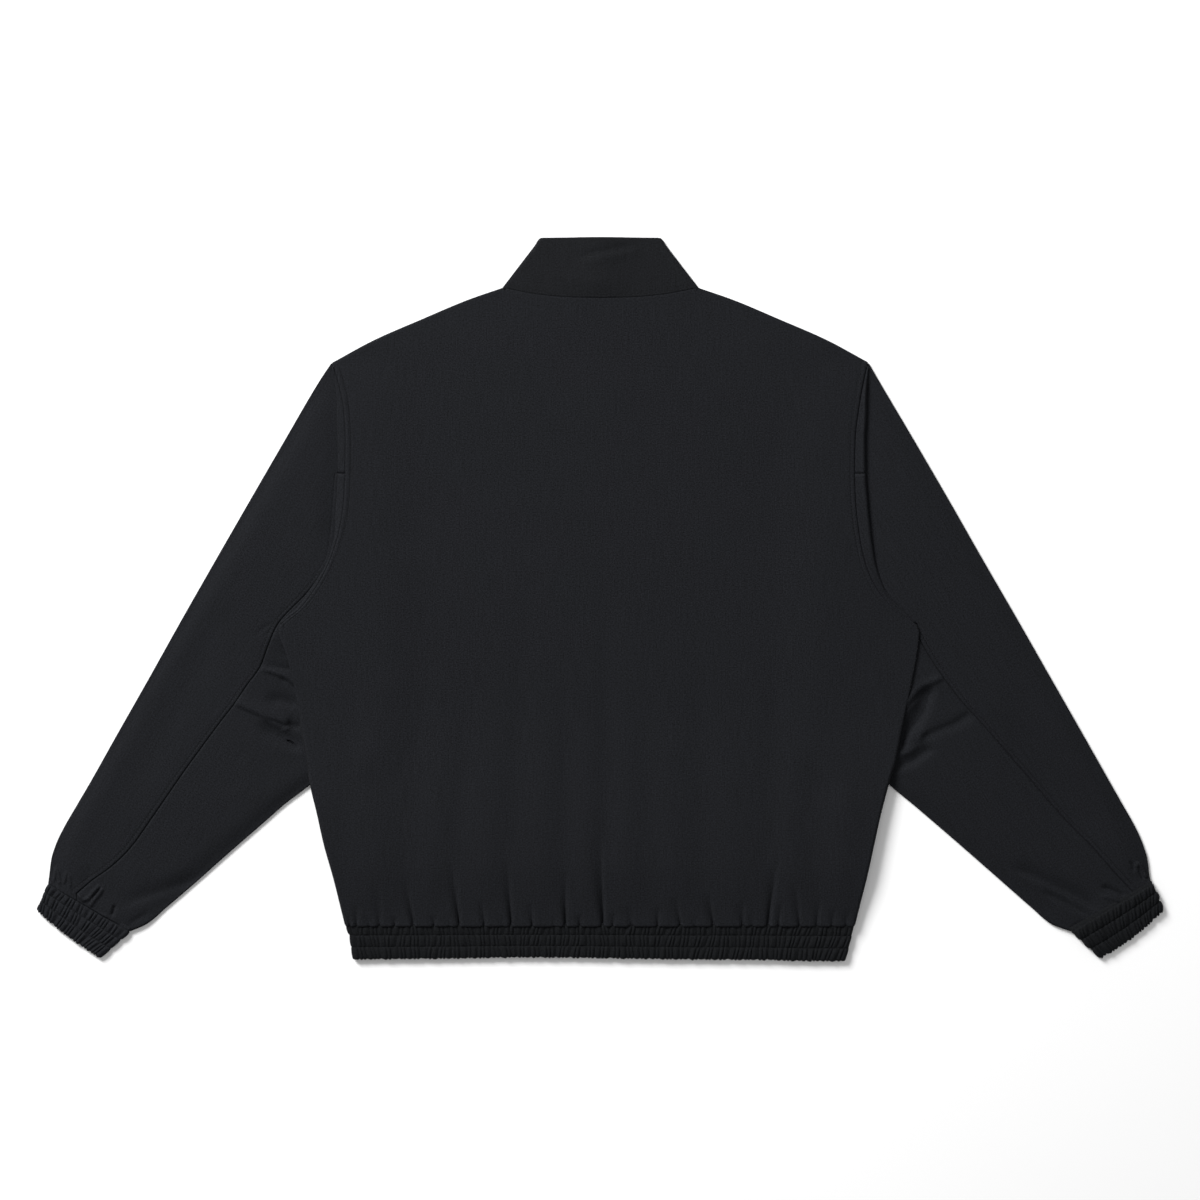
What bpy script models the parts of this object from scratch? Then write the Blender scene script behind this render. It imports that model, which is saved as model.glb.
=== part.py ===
"""Bomber jacket laid flat on its front, back side up, with the sleeves brought down.

Run with: blender --background --python part.py

Lengths in the tables and formulas are millimetres in the jacket's own frame: x across (photo's right
is +x), y from the hem to the collar, z up from the surface it lies on. Each piece of cloth is one closed
wall. A width w is the distance from the centre line, so one formula serves the left and right sides.
"""

import bmesh
import bpy
import numpy as np

MM = 0.001
SIGN = {"left": -1.0, "right": 1.0}

# Driving sizes
BODY_WALL = 1.2
SLEEVE_WALL = 1.0
COLLAR_WALL = 1.8
BAND_WALL = 1.8
CUFF_WALL = 1.6
TAPE_WALL = 1.0
SEAM_GAP = 0.36
ROLL_GAP = 1.06
WAIST_Y = -325.0
SHOULDER_Y = 236.6
UNDERARM_Y = -29.0
NECK_HALF = 97.0
NECK_CORNER_Y = 311.7
FRONT_EDGE = 5.5
FRONT_NECK_Y = 282.0
NECK_COLUMNS = np.array([5.5, 28.0, 52.0, 76.0, 97.0])
COLLAR_TOP_Y = 360.3
BAND_BOTTOM_Y = -361.6
BAND_TURN_HALF = 250.0
FRONT_SEAM = 7.0
EDGE_INSET = 0.8 + 0.5 * SLEEVE_WALL
BAND_GATHERS = 76
CUFF_GATHERS = 16

# Heights along y between which the body rises over the sleeve that is tucked under it
TUCK_TOP = (74.0, 126.0)
TUCK_BOTTOM = (-246.0, -196.0)
SLEEVE_FREE = (34.0, 74.0)

# Fullness of the back over the waist seam: how high it stands, where it starts and where it ends
BLOUSE_RISE = 1.5
BLOUSE_START = 9.0
BLOUSE_END = (14.0, 95.0)

# Heights of the middle of each ply above the surface
FRONT_Z = 0.6
FRONT_OVER_SLEEVE_Z = 5.0
BACK_Z = 3.9
SLEEVE_LOW_Z = 0.5
SLEEVE_TOP_Z = 2.1
TUCK_Z = 3.5
STRIP_Z = 4.9
BAND_TOP_Z = 4.4
CUFF_TOP_Z = 3.0

CLOTH = ((0.0155, 0.0167, 0.0185), 0.82)
RIBBED = ((0.0125, 0.0135, 0.0150), 0.85)
TAPE = ((0.0090, 0.0095, 0.0105), 0.75)
METAL = ((0.060, 0.062, 0.066), 0.35)


def table(names, rows):
    """The columns of a small table, each under its own name."""
    return dict(zip(names.split(), np.array(rows, dtype=float).T))


# Half widths of the body at its side seams and armhole seams, hem to shoulder
BODY_EDGE = table("y left right", [
    (-325, 255.4, 254.4), (-308, 259.6, 258.6), (-276, 267.6, 266.6), (-244, 276.6, 273.6),
    (-212, 283.6, 280.6), (-184, 290.0, 288.0), (-160, 292.8, 295.0), (-134, 297.5, 300.0),
    (-110, 301.5, 304.8), (-84, 306.6, 310.5), (-54, 314.2, 316.0), (-29, 322.0, 318.5),
    (-20, 313.0, 306.5), (-10, 300.5, 293.5), (3, 290.2, 281.2), (22, 278.1, 269.8),
    (45, 267.8, 262.2), (70, 260.5, 257.8), (96, 256.4, 255.0), (126, 255.0, 253.9),
    (160, 254.6, 254.5), (192, 256.5, 258.3), (222, 263.0, 263.8), (236.6, 268.0, 267.2)])

# Back neck seam to shoulder tip: the back's upper edge
TOP_EDGE = table("w y", [
    (0, 302.0), (32, 302.6), (62, 305.2), (97, 311.7), (132, 299.6), (180, 279.4), (226, 259.3),
    (268, 236.6)])

# The sleeve's outline: its outer fold, and its inner fold from under the body down to the cuff
SLEEVE_OUTER = table("y left right", [
    (-286, 552.6, 550.6), (-276.5, 551.5, 548.6), (-260.5, 549.5, 546.5), (-244.5, 544.5, 541.6),
    (-228.5, 536.5, 534.5), (-204.5, 522.5, 521.0), (-180.5, 508.3, 507.3), (-140.5, 486.3, 484.6),
    (-80.5, 452.4, 450.4), (-20.5, 418.6, 416.2), (39.5, 384.4, 381.6), (99.5, 350.2, 347.6),
    (159.5, 315.6, 312.8), (219.5, 280.4, 277.6), (236, 269.4, 268.4)])
SLEEVE_INNER = table("y left right", [
    (-332, 471.5, 471.5), (-324.5, 454.5, 451.6), (-308.5, 435.4, 432.4), (-284.5, 407.4, 405.0),
    (-252.5, 371.4, 368.6), (-220.5, 334.6, 331.6), (-204.5, 316.4, 312.8), (-184.5, 290.6, 289.0),
    (-165, 273, 272), (-145, 260, 260), (-115, 252, 252), (-85, 250, 250), (90, 250, 250)])

# Each sleeve section: its height on the outer fold and on the inner side
SECTIONS = table("t outer inner", [
    (0, 235.6, 232.4), (1, 219.5, 213), (2, 189.5, 186), (3, 159.5, 158), (4, 129.5, 126), (5, 99.5, 98),
    (6, 69.5, 70), (7, 39.5, 45), (8, 9.5, 22), (9, -20.5, 2), (10, -50.5, -12), (11, -80.5, -25),
    (12, -110.5, -60), (13, -140.5, -100), (14, -165, -135), (15, -185, -165), (16, -204.5, -190),
    (17, -228.5, -220.5), (18, -244.5, -250), (19, -260.5, -282), (20, -272, -306),
    (21, -279.5, -322), (22, -284.5, -331.6)])
STRIP_START, SEAM_ROW, STRIP_END = 1.35, 4.0, 11.0
LOWER_ROWS = np.array([11.9, 12.4, 13, 13.6, 14.3, 15, 16, 17, 18.3, 19.6, 20.8, 22])

# The back sleeve seam, hidden under the armhole strip down to y = 10 or so
BACK_SEAM = table("y left right", [
    (-294, 523.5, 534.0), (-281.5, 509.1, 522.0), (-266.5, 488.5, 508.5), (-249, 470.5, 493.4),
    (-220.5, 449.9, 465.2), (-172, 416.4, 423.4), (-123, 380.5, 380.6), (-103.5, 365.5, 362.8),
    (-85.5, 353.5, 348.6), (-67.5, 340.5, 336.0), (-46.5, 332.5, 323.0), (-26, 323.5, 311.0),
    (9.5, 291.0, 280.0), (25, 279.0, 272.5), (45, 267.5, 266.0), (70, 264.0, 263.0),
    (95, 262.0, 261.5), (125.6, 259.5, 259.5)])

# How far the armhole's folded strip of sleeve stands out past the armhole seam
STRIP_WIDTH = table("y left right", [
    (-29, 1.6, 1.6), (-12, 4.5, 4.5), (3, 5.5, 6.0), (16, 5.5, 8.0), (37, 3.0, 10.0), (50, 3.0, 11.0),
    (93, 7.8, 12.0), (120, 7.5, 11.0), (177, 8.0, 9.0), (207, 5.0, 5.0), (232, 1.6, 1.6)])

# Heights of the back's middle surface beside the side seam and armhole
BACK_EDGE_Z = table("y z", [
    (-325, 4.4), (-300, 4.7), (-245, 5.2), (-192, 6.6), (60, 6.6), (100, 6.1), (130, 5.5), (195, 5.3),
    (222, 4.5), (236.6, 3.7)])

# Gathers of the back where it joins the waistband: valley across, depth and length up the back
HEM_FOLDS = table("x depth reach", [
    (-243, 0.7, 30), (-186, 0.8, 60), (-140, 1.2, 75), (-115, 0.6, 34), (-88, 1.2, 80),
    (-67, 0.6, 26), (-34, 1.2, 70), (4, 1.4, 110), (31, 0.6, 28), (57, 0.6, 24), (81, 0.9, 44),
    (114, 1.0, 34), (143, 0.6, 40), (168, 1.1, 78), (200, 0.8, 52), (232, 0.6, 24)])

HEM_FOLD_WIDTH = 5.0

# Tucks at the elbow, sewn into the back sleeve seam: seam end, then far end under the body
ELBOW_TUCKS = {
    "left": table("w0 y0 w1 y1", [(340.5, -67.5, 306, -84), (365.5, -103.5, 300, -142)]),
    "right": table("w0 y0 w1 y1", [(343, -77.9, 303, -124), (370.5, -112.5, 306, -150)]),
}

TUCK_RIDGE = {"height": 1.0, "off": -5.0, "width": 6.0}
TUCK_HOLLOW = {"height": -0.6, "off": 3.0, "width": 4.0}

# Fullness of the sleeve's upper ply over its cross lines
SLEEVE_PUFF = table("t height", [(0, 0.1), (8, 0.15), (11, 0.4), (13, 1.1), (16, 1.9), (19, 2.1), (22, 1.0)])

# Corners of each cuff, nearest the sleeve and at its end
CUFF_SEAM = {"outer": (552.6, -284.3), "inner": (471.4, -332.2)}
CUFF_END = {"outer": (563.0, -310.2), "inner": (500.6, -358.6)}
CUFF_BOW = 2.0


def ramp(value, start, end):
    """Smooth step from 0 at start to 1 at end."""
    t = np.clip((value - start) / (end - start), 0.0, 1.0)
    return t * t * (3.0 - 2.0 * t)


def curve(x, knots, values):
    """Smooth reading of a rising table: cubic pieces that never overshoot their rows."""
    step = np.diff(knots)
    slope = np.diff(values) / step
    product = slope[:-1] * slope[1:]
    total = slope[:-1] + slope[1:]
    inner = np.where(product > 0.0, 2.0 * product / np.where(total == 0.0, 1.0, total), 0.0)
    tangent = np.concatenate([slope[:1], inner, slope[-1:]])
    x = np.clip(x, knots[0], knots[-1])
    i = np.clip(np.searchsorted(knots, x) - 1, 0, len(step) - 1)
    t = (x - knots[i]) / step[i]
    start = values[i] * (1 + 2 * t) + tangent[i] * step[i] * t
    end = values[i + 1] * (3 - 2 * t) - tangent[i + 1] * step[i] * (1 - t)
    return start * (1 - t) ** 2 + end * t * t


def bell(distance, width):
    """Soft hump, 1 at no distance."""
    return np.exp(-(distance / width) ** 2)


def half_width(y, side):
    """Half width of the body at height y, at the side seam or the armhole."""
    return curve(y, BODY_EDGE["y"], BODY_EDGE[side])


def top_edge(x):
    """Height of the back's upper edge: half the neck seam, then the shoulder."""
    return np.interp(np.abs(x), TOP_EDGE["w"], TOP_EDGE["y"])


def front_top_edge(x):
    """Front neck seam, dipping to the zip, then the shoulder."""
    w = np.abs(x)
    dip = (NECK_CORNER_Y - FRONT_NECK_Y) * (1.0 - (np.minimum(w, NECK_HALF) / NECK_HALF) ** 2)
    return np.where(w < NECK_HALF, NECK_CORNER_Y - dip, top_edge(x))


def sleeve_inner_width(y, side):
    """Inner side of the sleeve's lower ply: the armhole, then a fold hidden under the body."""
    hidden = curve(y, SLEEVE_INNER["y"], SLEEVE_INNER[side])
    armhole = half_width(y, side) + 1.15
    share = ramp(y, *SLEEVE_FREE)
    return hidden * (1.0 - share) + armhole * share


def lift_width(y, side):
    """Where the body starts to lie on the sleeve tucked under it."""
    return np.minimum(sleeve_inner_width(y, side), half_width(y, side))


def roll(distance, radius):
    """Height kept on a rolled edge: 0 at the edge, 1 one radius in."""
    d = np.clip(distance / radius, 0.0, 1.0)
    return np.sqrt(1.0 - (1.0 - d) ** 2)


def front_flat_z(x, y, side):
    """The front's middle surface, which rises over the tucked sleeve beside the side seam."""
    rows = (1.0 - ramp(y, *TUCK_TOP)) * ramp(y, *TUCK_BOTTOM)
    over = lift_width(y, side)
    across = ramp(np.abs(x), over - 50.0, over - 7.0)
    return FRONT_Z + (FRONT_OVER_SLEEVE_Z - FRONT_Z) * rows * across


def neck_z(x):
    """Back neck seam's height, shared by the back and the collar."""
    return 3.2 + 1.1 * (1.0 - np.minimum((x / NECK_HALF) ** 2, 1.0))


def back_flat_z(x, y):
    """The back's middle surface before its edges roll under."""
    w = np.abs(x)
    over = np.where(x < 0.0, lift_width(y, "left"), lift_width(y, "right"))
    edge = curve(y, BACK_EDGE_Z["y"], BACK_EDGE_Z["z"])
    middle = BACK_Z + 0.5 * (1.0 - ramp(y, WAIST_Y, WAIST_Y + 75.0))
    middle = middle + (neck_z(x) - BACK_Z) * ramp(y, 250.0, 300.0)
    up = y - WAIST_Y
    blouse = BLOUSE_RISE * ramp(up, 0.0, BLOUSE_START) * (1.0 - ramp(up, *BLOUSE_END))
    return middle + (edge - middle) * ramp(w, over - 82.0, over - 26.0) + blouse


def hem_fold_z(x, y):
    """Gather valleys, sharpest at the waist seam, with the cloth standing up between them."""
    depth = np.zeros_like(x)
    for valley, deep, reach in zip(HEM_FOLDS["x"], HEM_FOLDS["depth"], HEM_FOLDS["reach"]):
        fade = ramp(y, WAIST_Y - 1.0, WAIST_Y + 6.0) * (1.0 - ramp(y, WAIST_Y + 0.2 * reach, WAIST_Y + reach))
        depth += deep * fade * bell(x - valley, HEM_FOLD_WIDTH)
    return -depth


def rolled_side_share(side_y):
    """1 below the underarm, where back and front meet in a rolled side seam, 0 above it."""
    return 1.0 - ramp(side_y, UNDERARM_Y - 6.0, UNDERARM_Y + 2.0)


def side_middle_z(y, side):
    """Height at which the rolled edges of back and front meet."""
    x = SIGN[side] * half_width(y, side)
    return 0.5 * (back_flat_z(x, y) + front_flat_z(x, y, side))


def grid_columns(inner, inset):
    """Column places: shares of the width, with extra columns a small inset from both edges."""
    inset = np.array(inset)
    share = np.concatenate([np.zeros_like(inset), inner, np.ones_like(inset)])
    shift = np.concatenate([inset, np.zeros(len(inner)), -inset[::-1]])
    return share, shift


def body_rows(hem_rows):
    """Row shares from the waist seam up; above the underarm they are the sleeve's section heights.

    hem_rows are the distances of the lowest rows above the waist seam.
    """
    low = WAIST_Y + np.array(hem_rows)
    mid = np.array([-205.0, -145.0, -90.0, UNDERARM_Y - 8.0])
    armhole = curve(np.array([11, 10, 9, 8, 7, 6, 5, 4, 3, 2, STRIP_START]), SECTIONS["t"], SECTIONS["inner"])
    last = SHOULDER_Y - np.array([2.0, 0.7, 0.15, 0.0])
    y = np.concatenate([low, mid, [UNDERARM_Y], armhole, last])
    return (y - WAIST_Y) / (SHOULDER_Y - WAIST_Y)


def share_at(x, y):
    """Share of the body's width, from its left edge, at which x lies on the row at height y."""
    left, right = -half_width(y, "left"), half_width(y, "right")
    return (x - left) / (right - left)


def back_points():
    """Grid over the back: width from the side tables, height from the hem to the upper edge."""
    valleys = HEM_FOLDS["x"]
    places = np.concatenate([valleys, 0.5 * (valleys[1:] + valleys[:-1])])
    corners = share_at(np.array([-NECK_HALF, NECK_HALF]), SHOULDER_Y)
    folds = share_at(places, WAIST_Y)
    clear = np.min(np.abs(folds[:, None] - corners), axis=1) > 0.006
    share, shift = grid_columns(np.sort(np.concatenate([folds[clear], corners])), (0.0, 0.15, 1.2))
    v = body_rows([0.0, 4.0, 10.0, 22.0, 42.0, 75.0])
    side_y = WAIST_Y + (SHOULDER_Y - WAIST_Y) * v
    left, right = -half_width(side_y, "left"), half_width(side_y, "right")
    x = left[:, None] * (1 - share) + right[:, None] * share + shift
    top = top_edge(x[-1])
    y = WAIST_Y + (top - WAIST_Y) * v[:, None]
    z = back_flat_z(x, y) + hem_fold_z(x, y)
    for side, edge in (("left", left), ("right", right)):
        distance = np.abs(x - edge[:, None])
        middle = side_middle_z(side_y, side)[:, None] + 0.5 * ROLL_GAP
        kept = roll(distance, 1.5)
        share_rolled = rolled_side_share(side_y[:, None])
        z = z - (z - middle) * (1.0 - kept) * share_rolled
    return roll_shoulder(x, y, z, top, 0.5 * ROLL_GAP)


def roll_shoulder(x, y, z, top, side_gap):
    """Turn the upper edge over the shoulder to the height where back and front meet."""
    middle = 0.5 * (BACK_Z + FRONT_Z) + side_gap
    kept = roll(top - y, 1.6)
    shoulder = ramp(np.abs(x), NECK_HALF + 1.0, NECK_HALF + 12.0)
    z = z - (z - middle) * (1.0 - kept) * shoulder
    return np.stack([x, y, z], axis=-1)


def front_points(side):
    """Grid over one front, from the zip's edge out to the side seam."""
    neck = (NECK_COLUMNS - FRONT_EDGE) / (half_width(SHOULDER_Y, side) - FRONT_EDGE)
    share = np.concatenate([neck, [0.5, 0.64, 0.76, 0.86, 0.94, 1.0, 1.0, 1.0]])
    shift = np.append(np.zeros(len(share) - 3), [-1.2, -0.15, 0.0])
    v = body_rows([0.0, 30.0, 75.0])
    side_y = WAIST_Y + (SHOULDER_Y - WAIST_Y) * v
    edge = half_width(side_y, side) + peek(side_y, side)
    w = FRONT_EDGE + (edge[:, None] - FRONT_EDGE) * share + shift
    top = front_top_edge(w[-1])
    y = WAIST_Y + (top - WAIST_Y) * v[:, None]
    z = front_flat_z(w, y, side)
    middle = side_middle_z(side_y, side)[:, None] - 0.5 * ROLL_GAP
    kept = roll(edge[:, None] - w, 1.5)
    z = z - (z - middle) * (1.0 - kept) * rolled_side_share(side_y[:, None])
    return roll_shoulder(SIGN[side] * w, y, z, top, -0.5 * ROLL_GAP)


def peek(y, side):
    """The left side seam turns towards the back here, so the front shows beyond it."""
    if side == "right":
        return 0.0 * y
    return 2.2 * ramp(y, -190.0, -165.0) * (1.0 - ramp(y, -134.0, -118.0))


def sleeve_frame(t, side):
    """Outer and inner ends (w, y) of the sleeve sections t."""
    outer_y = curve(t, SECTIONS["t"], SECTIONS["outer"])
    inner_y = curve(t, SECTIONS["t"], SECTIONS["inner"])
    outer = np.stack([curve(outer_y, SLEEVE_OUTER["y"], SLEEVE_OUTER[side]), outer_y], axis=-1)
    inner = np.stack([sleeve_inner_width(inner_y, side), inner_y], axis=-1)
    return outer, inner


def seam_share(t, side):
    """Share of each section, from its outer end, at which the back sleeve seam crosses it."""
    outer, inner = sleeve_frame(t, side)
    share = np.full(len(t), 0.5)
    for _ in range(60):
        y = outer[:, 1] + (inner[:, 1] - outer[:, 1]) * share
        w = curve(y, BACK_SEAM["y"], BACK_SEAM[side])
        share = 0.5 * share + 0.5 * (outer[:, 0] - w) / (outer[:, 0] - inner[:, 0])
    return np.where(t <= SEAM_ROW, 1.0, np.minimum(share, 1.0))


def tuck_fold_z(w, y, side):
    """Elbow tucks: the cloth below each tuck line stands over the cloth above it."""
    height = np.zeros_like(w)
    tucks = ELBOW_TUCKS[side]
    for w0, y0, w1, y1 in zip(tucks["w0"], tucks["y0"], tucks["w1"], tucks["y1"]):
        along = np.array([w1 - w0, y1 - y0])
        length = np.hypot(*along)
        along /= length
        run = ((w - w0) * along[0] + (y - y0) * along[1]) / length
        off = (w - w0) * along[1] - (y - y0) * along[0]
        fade = ramp(run, -0.05, 0.25) * (1.0 - ramp(run, 0.85, 1.3))
        for form in (TUCK_RIDGE, TUCK_HOLLOW):
            height += fade * form["height"] * bell(off - form["off"], form["width"])
    return height


def sleeve_top_z(t, share, w, y, side):
    """Upper ply of the sleeve: flat under the body, fuller below the elbow, flat again at the cuff."""
    puff = np.interp(t, SLEEVE_PUFF["t"], SLEEVE_PUFF["height"])
    z = SLEEVE_TOP_Z + puff * np.sin(np.pi * np.clip(share, 0, 1)) ** 0.7
    z = z + (CUFF_TOP_Z - SLEEVE_TOP_Z) * ramp(t, 20.0, 22.0)
    join = (curve(y, BACK_EDGE_Z["y"], BACK_EDGE_Z["z"]) - SLEEVE_TOP_Z) * ramp(share, 0.4, 1.0)
    z = z + join * (1.0 - ramp(t, 0.6, STRIP_START - 0.05))
    return z + tuck_fold_z(w, y, side) * ramp(t, 10.5, 12.0)


def ply(t, side, shares, top):
    """One ply of the sleeve at the given shares of each section (rows, columns)."""
    outer, inner = sleeve_frame(t, side)
    place = outer[:, None, :] + (inner - outer)[:, None, :] * shares[..., None]
    w, y = place[..., 0], place[..., 1]
    rows = np.broadcast_to(t[:, None], w.shape)
    z = sleeve_top_z(rows, shares, w, y, side) if top else np.full_like(w, SLEEVE_LOW_Z)
    return np.stack([w, y, z], axis=-1)


def fold_edge(t, side, share_end, radius_share):
    """Points round a sleeve fold, from the upper ply to the lower one, as a half circle in section."""
    outer, inner = sleeve_frame(t, side)
    width = np.hypot(*(outer - inner).T)
    upper = sleeve_top_z(t, np.full(len(t), share_end), outer[:, 0], outer[:, 1], side)
    radius = 0.5 * (upper - SLEEVE_LOW_Z)
    middle = 0.5 * (upper + SLEEVE_LOW_Z)
    points = []
    for angle in np.radians([52.0, 0.0, -52.0]):
        inset = (radius * (1.0 - np.cos(angle)) + 0.5 * SLEEVE_WALL) / width
        share = share_end + radius_share * inset
        place = outer + (inner - outer) * share[:, None]
        points.append(np.column_stack([place, middle + radius * np.sin(angle)]))
    return np.stack(points, axis=1)


def armhole_strip(t, side):
    """Armhole seam out to the strip's fold, back under it, to the fold where the sleeve comes out again."""
    _, inner = sleeve_frame(t, side)
    y = inner[:, 1]
    seam = half_width(y, side)
    slant = (half_width(y + 1.0, side) - half_width(y - 1.0, side)) / 2.0
    normal = np.column_stack([np.ones_like(slant), -slant]) / np.hypot(1.0, slant)[:, None]
    start = np.column_stack([seam, y])
    reach = curve(y, STRIP_WIDTH["y"], STRIP_WIDTH[side])
    seam_z = curve(y, BACK_EDGE_Z["y"], BACK_EDGE_Z["z"])
    seam_z = seam_z - 0.4 * ramp(-y, 18.0, 29.0)
    radius = 0.5 * (STRIP_Z - TUCK_Z)
    path = []
    for out, z in ((SEAM_GAP + 0.22, seam_z), (0.45 * reach, 0.5 * (seam_z + STRIP_Z)),
                   (reach - radius - 0.2, STRIP_Z + 0 * y), (reach - 0.1, STRIP_Z - radius + 0 * y),
                   (reach - radius - 0.2, TUCK_Z + 0 * y)):
        path.append(np.column_stack([start + normal * np.broadcast_to(out, y.shape)[:, None], z]))
    radius = 0.5 * (TUCK_Z - SLEEVE_TOP_Z)
    path.append(np.column_stack([inner[:, 0] + radius, y, TUCK_Z + 0 * y]))
    path.append(np.column_stack([inner[:, 0], y, TUCK_Z - radius + 0 * y]))
    return np.stack(path, axis=1)


def spread(start, end, count):
    """Even shares from start to end for each section (rows, count)."""
    steps = np.linspace(0.0, 1.0, count)
    return start[:, None] + (end - start)[:, None] * steps


def outer_sleeve_points(side):
    """Outer sleeve: armhole strip, upper ply to the outer fold, and the lower ply to the front seam."""
    t = np.concatenate([[0, 1, STRIP_START, 2, 3, SEAM_ROW - 0.006, SEAM_ROW + 0.012, 5, 6, 7, 8, 9, 10,
                         STRIP_END, STRIP_END + 0.4], LOWER_ROWS])
    outer, inner = sleeve_frame(t, side)
    width = np.hypot(*(outer - inner).T)
    strip = armhole_strip(t, side)
    in_share = (0.5 * (TUCK_Z - SLEEVE_TOP_Z)) / width
    with_strip = (t >= STRIP_START) & (t < SEAM_ROW)
    end = np.where(with_strip, 1.0 - in_share, seam_share(t, side) - 0.5 * SEAM_GAP / width)
    inset = EDGE_INSET / width
    top = ply(t, side, spread(end, inset, 6), True)
    fold = fold_edge(t, side, 0.0, 1.0)
    front_seam = np.where(t > STRIP_END + 0.1, 1.0 - FRONT_SEAM / width, 1.0)
    low = ply(t, side, spread(inset, front_seam, 4), False)
    points = np.concatenate([strip, top, fold, low], axis=1)
    keep = np.ones((len(t) - 1, points.shape[1] - 1), dtype=bool)
    keep[:, :strip.shape[1]] = (with_strip[:-1] & with_strip[1:])[:, None]
    return points, keep


def under_sleeve_points(side):
    """Under sleeve: back seam to the inner fold, then a strip beside the armhole or a narrow turn.

    The strip is above the underarm; below it the cloth turns under the sleeve to the front seam.
    """
    t = np.concatenate([[SEAM_ROW + 0.018, 5, 6, 7, 8, 9, 10, STRIP_END, STRIP_END + 0.45], LOWER_ROWS])
    outer, inner = sleeve_frame(t, side)
    width = np.hypot(*(outer - inner).T)
    with_strip = t <= STRIP_END
    start = seam_share(t, side) + 0.5 * SEAM_GAP / width
    start = np.minimum(start, 1.0 - 2.6 / width)
    inset = EDGE_INSET / width
    end = np.where(with_strip, 1.0 - (0.5 * (TUCK_Z - SLEEVE_TOP_Z)) / width, 1.0 - inset)
    top = ply(t, side, spread(start, end, 7), True)
    strip = armhole_strip(t, side)[:, ::-1]
    fold = fold_edge(t, side, 1.0, -1.0)
    low = ply(t, side, spread(1.0 - inset, 1.0 - (FRONT_SEAM - SEAM_GAP) / width, 4), False)
    turn = np.where(with_strip[:, None, None], strip, np.concatenate([fold, low], axis=1))
    points = np.concatenate([top, turn], axis=1)
    keep = np.ones((len(t) - 1, points.shape[1] - 1), dtype=bool)
    last = np.flatnonzero(with_strip)[-1]
    keep[last, top.shape[1] - 1:] = False
    return points, keep


def mirrored(points, side):
    """Width to x on the given side."""
    return points * np.array([SIGN[side], 1.0, 1.0])


def tape_lift(y):
    """Extra height of the zip where it runs over the collar and the waistband."""
    collar = 0.55 * ramp(y, 266.0, 279.0) + 1.35 * ramp(y, 300.0, 328.0)
    return collar + 0.55 * (1.0 - ramp(y, WAIST_Y + 4.0, WAIST_Y + 16.0))


def collar_points():
    """Stand collar as a flattened ring, open at the zip: lower front, back, lower front."""
    v = np.array([0.0, 0.3, 0.6, 0.85, 0.94, 0.985, 1.0])
    half = np.interp(v, [0.0, 0.86, 0.94, 0.985, 1.0], [98.0, 65.6, 63.4, 61.6, 60.0])[:, None]
    front_share = (NECK_COLUMNS[:-1] - FRONT_EDGE) / (half[0] - FRONT_EDGE)
    back_share = np.array([-0.9, -0.63, -0.33, -0.16, 0.0, 0.16, 0.33, 0.63, 0.9])
    low_z = 0.5 * COLLAR_WALL
    radius = 0.5 * (3.2 - low_z)
    columns = []
    for share in front_share:
        columns.append(collar_front(-(FRONT_EDGE + (half - FRONT_EDGE) * share), v, low_z))
    turn = np.radians([-90.0, -40.0, 0.0, 40.0, 90.0])
    for angle in turn:
        x = half - radius * (1.0 - np.cos(angle)) - 0.5 * COLLAR_WALL
        columns.append(collar_side(-x, v, low_z + radius * (1.0 + np.sin(angle))))
    for share in back_share:
        columns.append(collar_back(half * share, v))
    for angle in turn[::-1]:
        x = half - radius * (1.0 - np.cos(angle)) - 0.5 * COLLAR_WALL
        columns.append(collar_side(x, v, low_z + radius * (1.0 + np.sin(angle))))
    for share in front_share[::-1]:
        columns.append(collar_front(FRONT_EDGE + (half - FRONT_EDGE) * share, v, low_z))
    return np.concatenate(columns, axis=1)


def collar_front(x, v, z):
    """A column of the lower plies, whose top edge stands a little above the back's at the zip."""
    seam = front_top_edge(x) + SEAM_GAP + 0.15
    top = COLLAR_TOP_Y + 1.6 * (1.0 - ramp(np.abs(x), 20.0, 40.0))
    y = seam[0] + (top - seam[0]) * v[:, None]
    return np.stack([x, y, np.full_like(x, z)], axis=-1)


def collar_side(x, v, z):
    """A column of the collar's folded side, at one height."""
    seam = NECK_CORNER_Y + SEAM_GAP + 0.15
    y = seam + (COLLAR_TOP_Y - seam) * v[:, None]
    return np.stack([x, y, np.full_like(x, z)], axis=-1)


def collar_back(x, v):
    """A column of the upper ply, raised at the centre over the zip's slider."""
    seam = top_edge(x[0]) + SEAM_GAP + 0.15
    y = seam + (COLLAR_TOP_Y - seam) * v[:, None]
    z = neck_z(x) + 2.3 * np.exp(-(x / 26.0) ** 2) * ramp(y, 296.0, 320.0)
    return np.stack([x, y, z], axis=-1)


def wall_loop(upper, lower, z, normal, wall, gather, rows):
    """One station of a gathered band: its outer points, raised by its gathers, then two inner ones.

    upper and lower are the plan points at the band's two edges, normal is the outward direction.
    """
    v = np.array(rows["v"])
    swell = np.array(rows["swell"])
    plan = upper + (lower - upper) * v[:, None]
    out = 0.5 * wall + swell * gather
    outer = np.column_stack([plan + out[:, None] * normal[:2], z + out * normal[2]])
    ends = plan[[-1, 0]]
    inner = np.column_stack([ends - 0.5 * wall * normal[:2], np.full(2, z - 0.5 * wall * normal[2])])
    return np.concatenate([outer, inner])


# Three elastic channels: share of the band's depth, and how much of the gather shows there
CHANNELS = {"v": (0.0, 0.16, 0.30, 0.49, 0.64, 0.83, 1.0), "swell": (0.15, 1.0, 0.1, 1.0, 0.1, 1.0, 0.3)}
PLAIN = np.array([0.0, 0.0, -1.0])
FACE = np.array([0.0, 0.0, 1.0])


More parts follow.
